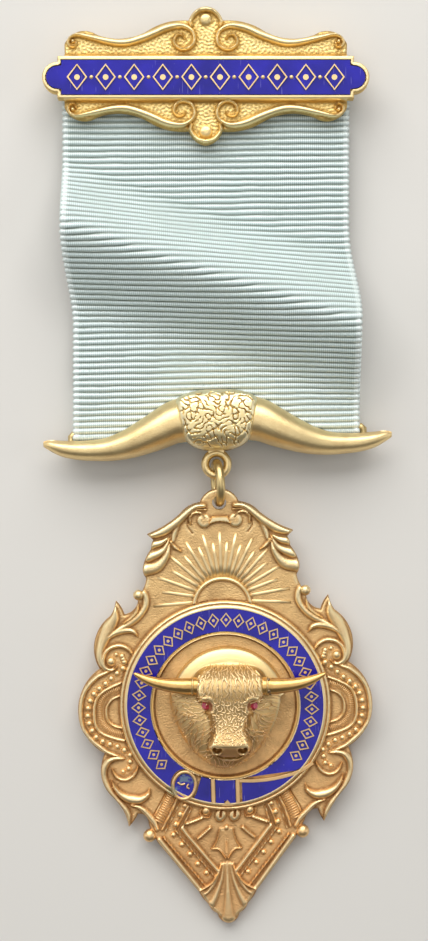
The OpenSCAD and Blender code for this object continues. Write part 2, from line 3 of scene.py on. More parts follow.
import bmesh
import bpy
import numpy as np
from mathutils import Matrix, Vector
from mathutils.geometry import delaunay_2d_cdt
from mathutils.kdtree import KDTree


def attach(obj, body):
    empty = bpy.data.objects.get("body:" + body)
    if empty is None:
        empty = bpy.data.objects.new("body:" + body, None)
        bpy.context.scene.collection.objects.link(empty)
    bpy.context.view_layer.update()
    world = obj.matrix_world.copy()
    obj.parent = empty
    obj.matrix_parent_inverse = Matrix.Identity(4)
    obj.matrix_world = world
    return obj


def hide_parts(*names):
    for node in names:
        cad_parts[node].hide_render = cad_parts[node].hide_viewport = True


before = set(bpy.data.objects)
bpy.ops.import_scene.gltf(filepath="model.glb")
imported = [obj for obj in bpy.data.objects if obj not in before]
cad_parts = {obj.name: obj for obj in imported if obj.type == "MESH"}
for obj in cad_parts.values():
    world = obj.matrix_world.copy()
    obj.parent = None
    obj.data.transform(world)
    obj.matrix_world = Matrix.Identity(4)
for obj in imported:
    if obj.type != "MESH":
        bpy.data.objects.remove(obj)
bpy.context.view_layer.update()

# Fraternal medal: brooch bar, grosgrain ribbon, horn suspender, jump ring and stamped pendant.
# Every table is in millimetres in its piece's own frame, which the piece's place turns and moves.
mm = 0.001

layout = {
    "lift": 3.3,  # back of the bar and the suspender above the surface
    "bar": (-1.3, 52.0),
    "horns": (0.2, 6.1),
    "hornsTurn": 1.65,
    "pendant": (1.3, -32.0),
    "pendantTurn": 1.7,
    "tipY": -29.2,  # the pendant's point, on which it lies, and its lug
    "lugY": 27.2,
    "lugHole": 0.95,
    "plateT": 1.2,
    "garterT": 2.1,
    "enamelSunk": 0.06,  # enamel under the top of the metal round it
    "ringZ": 3.8,
    "eyelet": (-0.24, -5.9),
}
plateT = layout["plateT"]
tilt = math.asin((layout["ringZ"] - plateT / 2) / (layout["lugY"] - layout["tipY"]))
onBar = Matrix.Translation((*layout["bar"], layout["lift"]))
onHorns = (Matrix.Translation((*layout["horns"], layout["lift"]))
           @ Matrix.Rotation(math.radians(layout["hornsTurn"]), 4, "Z"))
onPendant = (Matrix.Translation((*layout["pendant"], 0))
             @ Matrix.Rotation(math.radians(layout["pendantTurn"]), 4, "Z")
             @ Matrix.Translation((0, layout["tipY"], 0))
             @ Matrix.Rotation(tilt, 4, "X")
             @ Matrix.Translation((0, -layout["tipY"], 0)))


# Nodes and materials


# Adds a node with its settings; an input takes a value, a socket or the first output of another node
def addNode(tree, kind, inputs=None, **settings):
    made = tree.nodes.new(kind)
    for key, value in settings.items():
        setattr(made, key, value)
    for socket, value in (inputs or {}).items():
        source = value.outputs[0] if isinstance(value, bpy.types.Node) else value
        if isinstance(source, bpy.types.NodeSocket):
            tree.links.new(source, made.inputs[socket])
        else:
            made.inputs[socket].default_value = source
    return made


def linear(hexColour):  # sRGB hex to linear
    parts = [int(hexColour[i:i + 2], 16) / 255 for i in (1, 3, 5)]
    return tuple(c / 12.92 if c < 0.04045 else ((c + 0.055) / 1.055) ** 2.4 for c in parts) + (1.0,)


def startMaterial(name):
    material = bpy.data.materials.new(name)
    material.use_nodes = True
    tree = material.node_tree
    tree.nodes.clear()
    shader = addNode(tree, "ShaderNodeBsdfPrincipled")
    addNode(tree, "ShaderNodeOutputMaterial", {"Surface": shader})
    place = addNode(tree, "ShaderNodeTexCoord").outputs["Object"]
    return material, tree, shader, place


# Green bloom of the copper round the buckle: x, y and reach of each spot
verdigris = {
    "colour": "#7E9A8A",
    "spots": [(-3.9, -41.9, 2.2), (-5.75, -43.6, 1.9)],
    "grain": 0.7,
    "most": 0.5,
}


def addVerdigris(tree, place, colour):
    above = addNode(tree, "ShaderNodeVectorMath", {0: place, 1: (1, 1, 0)}, operation="MULTIPLY")
    patches = addNode(tree, "ShaderNodeTexNoise",
                      {"Vector": place, "Scale": 1 / (verdigris["grain"] * mm), "Detail": 3.0})
    for x, y, reach in verdigris["spots"]:
        away = addNode(tree, "ShaderNodeVectorMath", {0: above, 1: (x * mm, y * mm, 0)},
                       operation="DISTANCE")
        near = addNode(tree, "ShaderNodeMapRange",
                       {"Value": away.outputs["Value"], "From Max": reach * mm, "To Min": 0.3,
                        "To Max": -0.4})
        grown = addNode(tree, "ShaderNodeMath", {0: patches, 1: near}, operation="ADD")
        share = addNode(tree, "ShaderNodeMapRange",
                        {"Value": grown, "From Min": 0.5, "From Max": 0.62, "To Max": verdigris["most"]})
        colour = addNode(tree, "ShaderNodeMix", {0: share, 6: colour, 7: linear(verdigris["colour"])},
                         data_type="RGBA").outputs[2]
    return colour


# Gilding metal, struck in a die, matted and then gold plated: the die's fine grain gives a soft
# pinkish ground, handling polishes what stands up, painted paler still as a highlight, and lacquer and dirt
# stay brown in the hollows, darkened further as painted shade. The gilt, crests too, is painted warmer
# towards the pendant's point: painted light for the warmer light and reflections that fall there
platingAndPaintedLight = {
    "warm": "#FBCA8E",
    "warmFrom": -16,  # along the medal
    "warmTo": -62,
    "warmMost": 0.8,
    "crestWarm": 0.6,
    "clouds": 2.6,
    "shadeAndDirt": 0.6,
}


def giltMetal(name, ground, crest, dip, groundRough, crestRough, grain, depth, stain=0.5):
    material, tree, shader, place = startMaterial(name)
    shader.inputs["Metallic"].default_value = 1.0
    warm = linear(platingAndPaintedLight["warm"])
    high = addNode(tree, "ShaderNodeAttribute", attribute_name="crest").outputs["Fac"]
    low = addNode(tree, "ShaderNodeAttribute", attribute_name="dip").outputs["Fac"]
    apart = addNode(tree, "ShaderNodeSeparateXYZ", {"Vector": place})
    warmShare = addNode(tree, "ShaderNodeMapRange",
                        {"Value": apart.outputs["Y"], "From Min": platingAndPaintedLight["warmFrom"] * mm,
                         "From Max": platingAndPaintedLight["warmTo"] * mm, "To Max": platingAndPaintedLight["warmMost"]})
    base = addNode(tree, "ShaderNodeMix", {0: warmShare, 6: linear(ground), 7: warm}, data_type="RGBA")
    clouds = addNode(tree, "ShaderNodeTexNoise",
                     {"Vector": place, "Scale": 1 / (platingAndPaintedLight["clouds"] * mm), "Detail": 5.0,
                      "Roughness": 0.62})
    cloudShare = addNode(tree, "ShaderNodeMapRange",
                         {"Value": clouds, "From Min": 0.45, "From Max": 0.75, "To Max": stain})
    stained = addNode(tree, "ShaderNodeMix", {0: cloudShare, 6: base.outputs[2], 7: linear(dip)},
                      data_type="RGBA")
    crestShare = addNode(tree, "ShaderNodeMath", {0: warmShare, 1: platingAndPaintedLight["crestWarm"]},
                         operation="MULTIPLY")
    # Crests: worn bright, painted paler still as a highlight, and painted warmer towards the point
    crestWearAndHighlight = addNode(tree, "ShaderNodeMix", {0: crestShare, 6: linear(crest), 7: warm}, data_type="RGBA")
    raised = addNode(tree, "ShaderNodeMix", {0: high, 6: stained.outputs[2], 7: crestWearAndHighlight.outputs[2]},
                     data_type="RGBA")
    # Hollows: dirt, and painted shade where the low relief would fall dark
    lowShare = addNode(tree, "ShaderNodeMath", {0: low, 1: platingAndPaintedLight["shadeAndDirt"]}, operation="MULTIPLY")
    sunk = addNode(tree, "ShaderNodeMix", {0: lowShare, 6: raised.outputs[2], 7: linear(dip)},
                   data_type="RGBA")
    rough = addNode(tree, "ShaderNodeMapRange", {"Value": high, "To Min": groundRough, "To Max": crestRough})
    grains = addNode(tree, "ShaderNodeTexNoise",
                     {"Vector": place, "Scale": 1 / (grain * mm), "Detail": 2.0, "Roughness": 0.6})
    onGround = addNode(tree, "ShaderNodeMapRange", {"Value": high, "To Min": 1.0, "To Max": 0.25})
    bump = addNode(tree, "ShaderNodeBump", {"Height": grains, "Strength": onGround, "Distance": depth * mm})
    tree.links.new(addVerdigris(tree, place, sunk.outputs[2]), shader.inputs["Base Color"])
    tree.links.new(rough.outputs["Result"], shader.inputs["Roughness"])
    tree.links.new(bump.outputs["Normal"], shader.inputs["Normal"])
    return material


# Vitreous enamel, ground flat and flash fired: deep ultramarine glass with a soft gloss,
# fine scratches from wear and a few pinholes that show pale
def blueEnamel():
    material, tree, shader, place = startMaterial("blue vitreous enamel")
    shader.inputs["IOR"].default_value = 1.5
    shader.inputs["Roughness"].default_value = 0.22
    shader.inputs["Specular IOR Level"].default_value = 0.4
    clouds = addNode(tree, "ShaderNodeTexNoise", {"Vector": place, "Scale": 1 / (3.5 * mm), "Detail": 3.0})
    tone = addNode(tree, "ShaderNodeMix", {0: clouds, 6: linear("#08045C"), 7: linear("#2C25C0")},
                   data_type="RGBA")
    pits = addNode(tree, "ShaderNodeTexVoronoi",
                   {"Vector": place, "Scale": 1 / (0.62 * mm), "Randomness": 1.0})
    pitShare = addNode(tree, "ShaderNodeMapRange",
                       {"Value": pits, "From Min": 0.0, "From Max": 0.13, "To Min": 0.85, "To Max": 0.0})
    spots = addNode(tree, "ShaderNodeTexNoise", {"Vector": place, "Scale": 1 / (1.4 * mm), "Detail": 2.0})
    where = addNode(tree, "ShaderNodeMapRange", {"Value": spots, "From Min": 0.56, "From Max": 0.68})
    share = addNode(tree, "ShaderNodeMath", {0: pitShare, 1: where}, operation="MULTIPLY")
    pitted = addNode(tree, "ShaderNodeMix", {0: share, 6: tone.outputs[2], 7: linear("#9E9CD8")},
                     data_type="RGBA")
    stretched = addNode(tree, "ShaderNodeMapping",
                        {"Vector": place, "Rotation": (0, 0, 0.9), "Scale": (1, 0.07, 1)})
    lines = addNode(tree, "ShaderNodeTexNoise", {"Vector": stretched, "Scale": 1 / (0.2 * mm), "Detail": 1.0})
    lineShare = addNode(tree, "ShaderNodeMapRange",
                        {"Value": lines, "From Min": 0.7, "From Max": 0.76, "To Max": 0.5})
    scratched = addNode(tree, "ShaderNodeMix", {0: lineShare, 6: pitted.outputs[2], 7: linear("#8884D0")},
                        data_type="RGBA")
    tree.links.new(addVerdigris(tree, place, scratched.outputs[2]), shader.inputs["Base Color"])
    return material


# Acetate grosgrain ribbon, woven with fat wefts under a silky warp: the ribs in the ribbon's pale colour,
# painted nearly white as lit, and the grooves painted dark olive as shade, where the warp shows as fine
# ticks, drawn at 0.27 mm, twice as coarse as the real ones
def grosgrain(width, tickPitch=0.27):
    material, tree, shader, place = startMaterial("pale blue grosgrain ribbon")
    shader.inputs["Roughness"].default_value = 0.32
    shader.inputs["IOR"].default_value = 1.9
    shader.inputs["Specular IOR Level"].default_value = 0.9
    rib = addNode(tree, "ShaderNodeAttribute", attribute_name="rib").outputs["Fac"]
    warp = addNode(tree, "ShaderNodeAttribute", attribute_name="warp").outputs["Fac"]
    turns = addNode(tree, "ShaderNodeMath", {0: warp, 1: 2 * math.pi / tickPitch}, operation="MULTIPLY")
    wave = addNode(tree, "ShaderNodeMath", {0: turns}, operation="SINE")
    tick = addNode(tree, "ShaderNodeMapRange",
                   {"Value": wave, "From Min": -1.0, "From Max": 1.0, "To Min": 0.3, "To Max": 1.0})
    # Grooves painted dark olive as shade, ribs painted nearly white as lit; the warp's ticks run through both
    groove = addNode(tree, "ShaderNodeMix", {0: tick, 6: linear("#38422F"), 7: linear("#788A7A")},
                     data_type="RGBA")
    share = addNode(tree, "ShaderNodeMapRange", {"Value": rib, "From Min": 0.3, "From Max": 0.88})
    lit = addNode(tree, "ShaderNodeMix", {0: tick, 6: linear("#98B0AE"), 7: linear("#DDEDEC")},
                  data_type="RGBA")
    ribbed = addNode(tree, "ShaderNodeMix", {0: share, 6: groove.outputs[2], 7: lit.outputs[2]},
                     data_type="RGBA")
    clouds = addNode(tree, "ShaderNodeTexNoise", {"Vector": place, "Scale": 1 / (5 * mm), "Detail": 3.0})
    cloudShare = addNode(tree, "ShaderNodeMapRange",
                         {"Value": clouds, "From Min": 0.4, "From Max": 0.75, "To Max": 0.4})
    aged = addNode(tree, "ShaderNodeMix", {0: cloudShare, 6: ribbed.outputs[2], 7: linear("#A4B6AC")},
                   data_type="RGBA")
    # The wefts turn back in pale loops at both selvedges
    fromRight = addNode(tree, "ShaderNodeMath", {0: width, 1: warp}, operation="SUBTRACT")
    fromEdge = addNode(tree, "ShaderNodeMath", {0: warp, 1: fromRight}, operation="MINIMUM")
    loops = addNode(tree, "ShaderNodeMapRange",
                    {"Value": fromEdge, "From Min": 0.1, "From Max": 0.6, "To Min": 0.7, "To Max": 0.0})
    edged = addNode(tree, "ShaderNodeMix", {0: loops, 6: aged.outputs[2], 7: linear("#E6F0EC")},
                    data_type="RGBA")
    bump = addNode(tree, "ShaderNodeBump", {"Height": wave, "Strength": 0.5, "Distance": 0.03 * mm})
    tree.links.new(edged.outputs[2], shader.inputs["Base Color"])
    tree.links.new(bump.outputs["Normal"], shader.inputs["Normal"])
    return material


# Red paste, a lead glass cut as a small stone: its colour drifts from dark red, painted as shade where it
# looks into the setting, to pink, painted as a pale glint
def redPaste():
    material, tree, shader, place = startMaterial("red paste stone")
    shader.inputs["Roughness"].default_value = 0.06
    shader.inputs["IOR"].default_value = 1.65
    shader.inputs["Transmission Weight"].default_value = 0.15
    clouds = addNode(tree, "ShaderNodeTexNoise", {"Vector": place, "Scale": 1 / (0.5 * mm)})
    tone = addNode(tree, "ShaderNodeMix", {0: clouds, 6: linear("#A00E26"), 7: linear("#F04A6E")},
                   data_type="RGBA")
    tree.links.new(tone.outputs[2], shader.inputs["Base Color"])
    return material


# Each finish: colour of the ground, of worn crests, painted paler as a highlight, and of the hollows, which
# also takes painted shade, roughness of ground and crests, the grain's size and depth, and how much of it the
# stains cover

# Matted in the die: pinkish, frosted and brown in the hollows, from dirt and painted shade
matted = giltMetal("matted gilding metal", "#EECA90", "#FDE8B6", "#844E1C", 0.58, 0.42, 0.22, 0.11, 0.38)
# Stippled with a punch: yellower, and coarser in the light
stippled = giltMetal("stippled gilding metal", "#EDD08A", "#F8E0A8", "#B48A40", 0.5, 0.4, 0.3, 0.1)
# Chased by hand: bright tool marks with dirt and painted shade between them
toned = giltMetal("chased gilding metal", "#FBDF9E", "#FCEBB8", "#643C10", 0.46, 0.4, 0.22, 0.02, 0.06)
pale = giltMetal("pale gilt hair", "#FEEBBE", "#FFF4D4", "#C9A468", 0.4, 0.36, 0.24, 0.01, 0.15)
chasedBoss = giltMetal("chased gilt boss", "#FEE7A8", "#FFF2C8", "#8A5A22", 0.42, 0.38, 0.24, 0.01, 0.15)
# Burnished with agate: the darkest and shiniest of the gilt
burnished = giltMetal("burnished gilt horns", "#DDB46C", "#F4D896", "#7A4E1E", 0.3, 0.26, 0.9, 0.03, 0.5)
# Scratch brushed: an even satin glow
satin = giltMetal("satin gilt brass", "#FAE0A6", "#FEF0C4", "#B8803A", 0.42, 0.38, 0.24, 0.03, 0.3)
# Beads, rays and hatching, rubbed bright by wear: hardly any grain
polished = giltMetal("polished gilt brass", "#F4DAA6", "#F8E4B4", "#C79A58", 0.42, 0.4, 0.2, 0.006, 0.2)
# Stoned level with the enamel: flat and a little dull
flush = giltMetal("stoned gilt lines", "#EFD09A", "#F2D49C", "#B98A50", 0.5, 0.42, 0.14, 0.008, 0.3)
# Lead solder of a repair and bare brass wire: grey, and brownish yellow
solder = giltMetal("tarnished solder", "#77705F", "#9A927C", "#3E3A30", 0.5, 0.4, 0.3, 0.02, 0.8)
dulled = giltMetal("dulled brass wire", "#DCC48C", "#E2CC94", "#9A7A44", 0.38, 0.34, 0.3, 0.01, 0.5)
enamel = blueEnamel()
paste = redPaste()
print("materials made")


# Lines, outlines and meshes


def bend(points, closed=False, per=6):  # smooth line through the points
    pts = np.array(points, float)
    if len(pts) < 3:
        return pts
    if closed:
        ext = np.vstack([pts[-1:], pts, pts[:2]])
    else:
        ext = np.vstack([2 * pts[0] - pts[1], pts, 2 * pts[-1] - pts[-2]])
    out = []
    for a, b, c, d in zip(ext[:-3], ext[1:-2], ext[2:-1], ext[3:]):
        for t in np.arange(per) / per:
            out.append(0.5 * (2 * b + (c - a) * t + (2 * a - 5 * b + 4 * c - d) * t * t
                              + (3 * b - a - 3 * c + d) * t ** 3))
    if not closed:
        out.append(pts[-1])
    return np.array(out)


def evenly(line, step, closed=False):  # the same line with points at equal distances
    pts = np.vstack([line, line[:1]]) if closed else np.array(line, float)
    run = np.concatenate([[0], np.cumsum(np.linalg.norm(np.diff(pts, axis=0), axis=1))])
    count = max(2, int(round(run[-1] / step)))
    at = np.linspace(0, run[-1], count if closed else count + 1, endpoint=not closed)
    return np.stack([np.interp(at, run, pts[:, k]) for k in range(pts.shape[1])], 1)


def arcPoints(a, b, bow, step=0.2):  # from a towards b along an arc that bows out to the left
    a, b = np.array(a, float), np.array(b, float)
    chord = np.hypot(*(b - a))
    count = max(1, math.ceil((chord + abs(bow)) / step))
    if abs(bow) < 0.01:
        return a + (b - a) * np.arange(count)[:, None] / count
    half = 2 * math.atan(2 * bow / chord)
    radius = chord / 2 / math.sin(half)
    left = np.array([a[1] - b[1], b[0] - a[0]]) / chord
    along = (b - a) / chord
    middle = (a + b) / 2 - left * radius * math.cos(half)
    angle = (half * (2 * np.arange(count) / count - 1))[:, None]
    return middle + radius * (np.sin(angle) * along + np.cos(angle) * left)


def wholeOutline(rows):  # rows of x, y and bow down the right side, mirrored to the left
    half = np.vstack([arcPoints(a[:2], b[:2], a[2]) for a, b in zip(rows, rows[1:])] + [[rows[-1][:2]]])
    back = half[half[:, 0] > 0.001][::-1] * [-1, 1]
    return np.vstack([half, back])


def roundAngles(count):  # angles of as many even points round a circle
    return np.linspace(0, 2 * math.pi, count, endpoint=False)


def circle(radius, step, centre=(0, 0)):
    angle = roundAngles(max(12, int(2 * math.pi * radius / step)))
    return np.stack([centre[0] + radius * np.cos(angle), centre[1] + radius * np.sin(angle)], 1)


def insideOf(p, loop):  # which points lie inside a closed line
    result = np.zeros(len(p), bool)
    for (ax, ay), (bx, by) in zip(loop, np.roll(loop, -1, 0)):
        if ay != by:
            crosses = (p[:, 1] < ay) != (p[:, 1] < by)
            result ^= crosses & (p[:, 0] < ax + (p[:, 1] - ay) * (bx - ax) / (by - ay))
    return result


def nearLine(p, line):  # distance to a line, and the share of the way along it
    gap = np.full(len(p), 1e9)
    share = np.zeros(len(p))
    steps = np.diff(line, axis=0)
    length = np.hypot(steps[:, 0], steps[:, 1])
    run = np.concatenate([[0], np.cumsum(length)])
    for a, d, l, s in zip(line[:-1], steps, length, run):
        if l < 1e-9:
            continue
        t = np.clip(((p - a) @ d) / (l * l), 0, 1)
        away = np.hypot(p[:, 0] - a[0] - t * d[0], p[:, 1] - a[1] - t * d[1])
        closer = away < gap
        gap[closer] = away[closer]
        share[closer] = (s + t[closer] * l) / run[-1]
    return gap, share


def inMetres(place):
    scaled = place.copy()
    scaled.translation = place.translation * mm
    return scaled


def faceOutwards(mesh):  # normals outwards on a closed shape
    work = bmesh.new()
    work.from_mesh(mesh)
    bmesh.ops.recalc_face_normals(work, faces=work.faces)
    work.to_mesh(mesh)
    work.free()


def makePiece(name, points, faces, place, material, attributes=None, sharp=50, mend=False):
    mesh = bpy.data.meshes.new(name)
    mesh.from_pydata((np.array(points) * mm).tolist(), [], faces)
    mesh.transform(inMetres(place))
    if mend:
        faceOutwards(mesh)
    for key, values in (attributes or {}).items():
        layer = mesh.attributes.new(key, "FLOAT", "POINT")
        layer.data.foreach_set("value", np.asarray(values, np.float32))
    mesh.shade_smooth()
    mesh.set_sharp_from_angle(angle=math.radians(sharp))
    mesh.materials.append(material)
    obj = bpy.data.objects.new(name, mesh)
    bpy.context.scene.collection.objects.link(obj)
    return obj


def joined(name, objs):  # several meshes as one piece, which keeps their materials
    work = bmesh.new()
    mesh = bpy.data.meshes.new(name)
    for obj in objs:
        for material in obj.data.materials:
            if material.name not in mesh.materials:
                mesh.materials.append(material)
    for obj in objs:
        first = len(work.faces)
        work.from_mesh(obj.data)
        work.faces.ensure_lookup_table()
        index = mesh.materials.find(obj.data.materials[0].name)
        for face in work.faces[first:]:
            face.material_index = index
    work.to_mesh(mesh)
    work.free()
    for obj in objs:
        bpy.data.objects.remove(obj)
    obj = bpy.data.objects.new(name, mesh)
    bpy.context.scene.collection.objects.link(obj)
    return obj


def tubeFaces(count, per, closed=False):  # faces between rings of as many points each
    faces = []
    for i in range(count if closed else count - 1):
        here, there = i * per, (i + 1) % count * per
        faces += [(here + j, here + (j + 1) % per, there + (j + 1) % per, there + j) for j in range(per)]
    return faces


def loft(name, rings, place, material, sharp=50):
    per = len(rings[0])
    faces = tubeFaces(len(rings), per)
    faces.append(tuple(range(per)))
    faces.append(tuple((len(rings) - 1) * per + j for j in range(per)))
    return makePiece(name, np.vstack(rings), faces, place, material, sharp=sharp, mend=True)


def wire(name, points, radius, place, material, closed=False):  # round wire along a line
    curve = bpy.data.curves.new(name, "CURVE")
    curve.dimensions = "3D"
    curve.bevel_depth = radius
    curve.bevel_resolution = 5
    curve.use_fill_caps = True
    spline = curve.splines.new("POLY")
    spline.points.add(len(points) - 1)
    for point, at in zip(spline.points, points):
        point.co = (*at, 1)
    spline.use_cyclic_u = closed
    obj = bpy.data.objects.new(name, curve)
    bpy.context.scene.collection.objects.link(obj)
    bpy.context.view_layer.update()
    mesh = bpy.data.meshes.new_from_object(obj.evaluated_get(bpy.context.evaluated_depsgraph_get()))
    points = np.array([v.co for v in mesh.vertices])
    faces = [tuple(f.vertices) for f in mesh.polygons]
    bpy.data.objects.remove(obj)
    return makePiece(name, points, faces, place, material, mend=True)


def gapsTo(points, p):  # distance from each of p to the nearest of the points
    tree = KDTree(len(points))
    for i, (x, y) in enumerate(points):
        tree.insert((x, y, 0), i)
    tree.balance()
    return np.array([tree.find((x, y, 0))[2] for x, y in p])


def triangulate(points, loops, edge, hole):  # anticlockwise triangles inside the edge, outside the hole
    made = delaunay_2d_cdt([Vector(p) for p in points.tolist()], loops, [list(range(len(edge)))],
                           1, 1e-6, False)
    flat = np.array([tuple(v) for v in made[0]])
    tris = np.array(made[2])
    middle = flat[tris].mean(1)
    wanted = insideOf(middle, edge)
    if hole:
        wanted &= np.hypot(middle[:, 0] - hole[0], middle[:, 1] - hole[1]) > hole[2] * 0.98
    tris = tris[wanted]
    a, b, c = flat[tris[:, 0]], flat[tris[:, 1]], flat[tris[:, 2]]
    turned = np.cross(b - a, c - a) < 0
    tris[turned] = tris[turned][:, ::-1]
    return flat, tris


# A struck sheet: points on a staggered grid inside the outline, extra ones along the lines that must
# stay crisp, a height for each, a wall down to the back and a flat back
def stamp(name, outline, step, heightOf, place, material, own=(), hole=None, bare=None, rings=(), soft=1.0,
          shade=None):
    edge = evenly(outline, step * 0.9, closed=True)
    if (edge[:, 0] * (np.roll(edge[:, 1], -1) - np.roll(edge[:, 1], 1))).sum() < 0:  # anticlockwise
        edge = edge[::-1]
    holeEdge = circle(hole[2], step * 0.9, hole[:2]) if hole else np.zeros((0, 2))
    extra = [evenly(line, step) for line in own] + [circle(r, step) for r in rings]
    fixed = np.vstack([edge, holeEdge, *extra])
    lo, hi = edge.min(0), edge.max(0)
    grid = np.stack(np.meshgrid(np.arange(lo[0], hi[0], step), np.arange(lo[1], hi[1], step * 0.866)), -1)
    grid[1::2, :, 0] += step / 2
    grid = grid.reshape(-1, 2)
    grid = grid[insideOf(grid, outline)]
    if hole:
        grid = grid[np.hypot(grid[:, 0] - hole[0], grid[:, 1] - hole[1]) > hole[2]]
    if bare:  # hidden under another piece
        grid = grid[np.hypot(grid[:, 0], grid[:, 1]) > bare]
    grid = grid[gapsTo(fixed, grid) > 0.55 * step]
    first = len(edge)
    loops = [(i, (i + 1) % first) for i in range(first)]
    loops += [(first + i, first + (i + 1) % len(holeEdge)) for i in range(len(holeEdge))]
    flat, tris = triangulate(np.vstack([fixed, grid]), loops, edge, hole)
    z = heightOf(flat, gapsTo(edge, flat))
    # The mean height of a point's surroundings tells what stands up and what lies low
    starts = tris.ravel()
    ends = np.roll(tris, -1, 1).ravel()
    count = np.maximum(1, np.bincount(starts, minlength=len(flat)) + np.bincount(ends, minlength=len(flat)))
    around = z.copy()
    for _ in range(7):
        total = np.bincount(starts, around[ends], len(flat)) + np.bincount(ends, around[starts], len(flat))
        around = total / count
    # Crests are later painted paler, for wear and as a highlight, and hollows darker, for dirt and as painted
    # shade
    crest = np.clip((z - around) / (0.07 * soft), 0, 1)
    dip = np.clip((around - z) / (0.1 * soft), 0, 1)
    if shade:
        dip = np.maximum(dip, shade(flat) * (1 - crest))
    # Walls and back
    pairs = set(zip(starts.tolist(), ends.tolist()))
    border = [(i, j) for i, j in pairs if (j, i) not in pairs]
    below = {}
    for i, _ in border:
        below[i] = len(flat) + len(below)
    points = np.vstack([np.c_[flat, z], np.c_[flat[list(below)], np.zeros(len(below))]])
    walls = [(j, i, below[i], below[j]) for i, j in border]
    order = {tuple(np.round(flat[i], 5)): below[i] for i in below}
    backFlat, backTris = triangulate(np.vstack([edge, holeEdge]), loops, edge, hole)
    backFaces = []
    for tri in backTris:
        corner = [order.get(tuple(np.round(backFlat[k], 5))) for k in tri[::-1]]
        if None not in corner:
            backFaces.append(tuple(corner))
    onBack = np.zeros(len(below))
    return makePiece(name, points, tris.tolist() + walls + backFaces, place, material,
                     {"crest": np.concatenate([crest, onBack]), "dip": np.concatenate([dip, onBack])})


# Forms of the relief, each added to the heights z of the points p


def raiseRidge(z, p, line, widths, rise):
    line = bend(line)
    reach = max(widths) / 2
    near = np.flatnonzero(((p > line.min(0) - reach) & (p < line.max(0) + reach)).all(1))
    gap, share = nearLine(p[near], line)
    half = np.interp(share, np.linspace(0, 1, len(widths)), widths) / 2
    t = np.clip(gap / np.maximum(half, 0.01), 0, 1)
    top = rise * np.minimum(1, half / (0.45 * reach)) ** 0.7 * (1 - t * t) ** 0.65
    inside = t < 1
    z[near[inside]] = np.maximum(z[near[inside]], top[inside])


def cutGroove(z, p, line, width, depth):
    line = bend(line)
    near = np.flatnonzero(((p > line.min(0) - width) & (p < line.max(0) + width)).all(1))
    gap, _ = nearLine(p[near], line)
    t = np.clip(gap / (width / 2), 0, 1)
    z[near] -= depth * (1 - t * t)


def raiseDisc(z, p, centre, radius, rise, square=1.0):
    t = np.hypot(p[:, 0] - centre[0], p[:, 1] - centre[1]) / radius
    top = rise * (1 - np.clip(t, 0, 1) ** (2 * square)) ** 0.6
    np.maximum(z, np.where(t < 1, top, z), out=z)


def raisePatch(z, p, corners, rise, roll):
    loop = np.array(corners, float)
    near = np.flatnonzero(((p > loop.min(0)) & (p < loop.max(0))).all(1))
    within = near[insideOf(p[near], loop)]
    gap, _ = nearLine(p[within], np.vstack([loop, loop[:1]]))
    z[within] = np.maximum(z[within], rise * np.sqrt(np.clip(gap / roll, 0, 1)))


def smoothStep(t):
    t = np.clip(t, 0, 1)
    return t * t * (3 - 2 * t)


def wavePattern(p, pitch, seed, count=26):  # waves of one pitch in all directions add up to an even disorder
    rng = np.random.default_rng(seed)
    total = np.zeros(len(p))
    for angle in np.linspace(0, math.pi, count, endpoint=False):
        along = p[:, 0] * math.cos(angle) + p[:, 1] * math.sin(angle)
        length = pitch * rng.uniform(0.85, 1.15)
        total += np.sin(2 * math.pi * along / length + rng.uniform(0, 2 * math.pi))
    return total / math.sqrt(count)


def mirroredX(lines):
    return [np.array(line, float) for line in lines] + [np.array(line, float) * [-1, 1] for line in lines]


# Geometry nodes


def startTree(name, inputs):
    tree = bpy.data.node_groups.new(name, "GeometryNodeTree")
    tree.interface.new_socket("Geometry", in_out="INPUT", socket_type="NodeSocketGeometry")
    for label, kind, value in inputs:
        socket = tree.interface.new_socket(label, in_out="INPUT", socket_type="NodeSocket" + kind)
        socket.default_value = value
    tree.interface.new_socket("Geometry", in_out="OUTPUT", socket_type="NodeSocketGeometry")
    return tree, addNode(tree, "NodeGroupInput").outputs


def endTree(tree, geometry, material):
    real = addNode(tree, "GeometryNodeRealizeInstances", {"Geometry": geometry})
    smooth = addNode(tree, "GeometryNodeSetShadeSmooth", {"Geometry": real})
    coloured = addNode(tree, "GeometryNodeSetMaterial", {"Geometry": smooth, "Material": material})
    addNode(tree, "NodeGroupOutput", {"Geometry": coloured})
    return tree


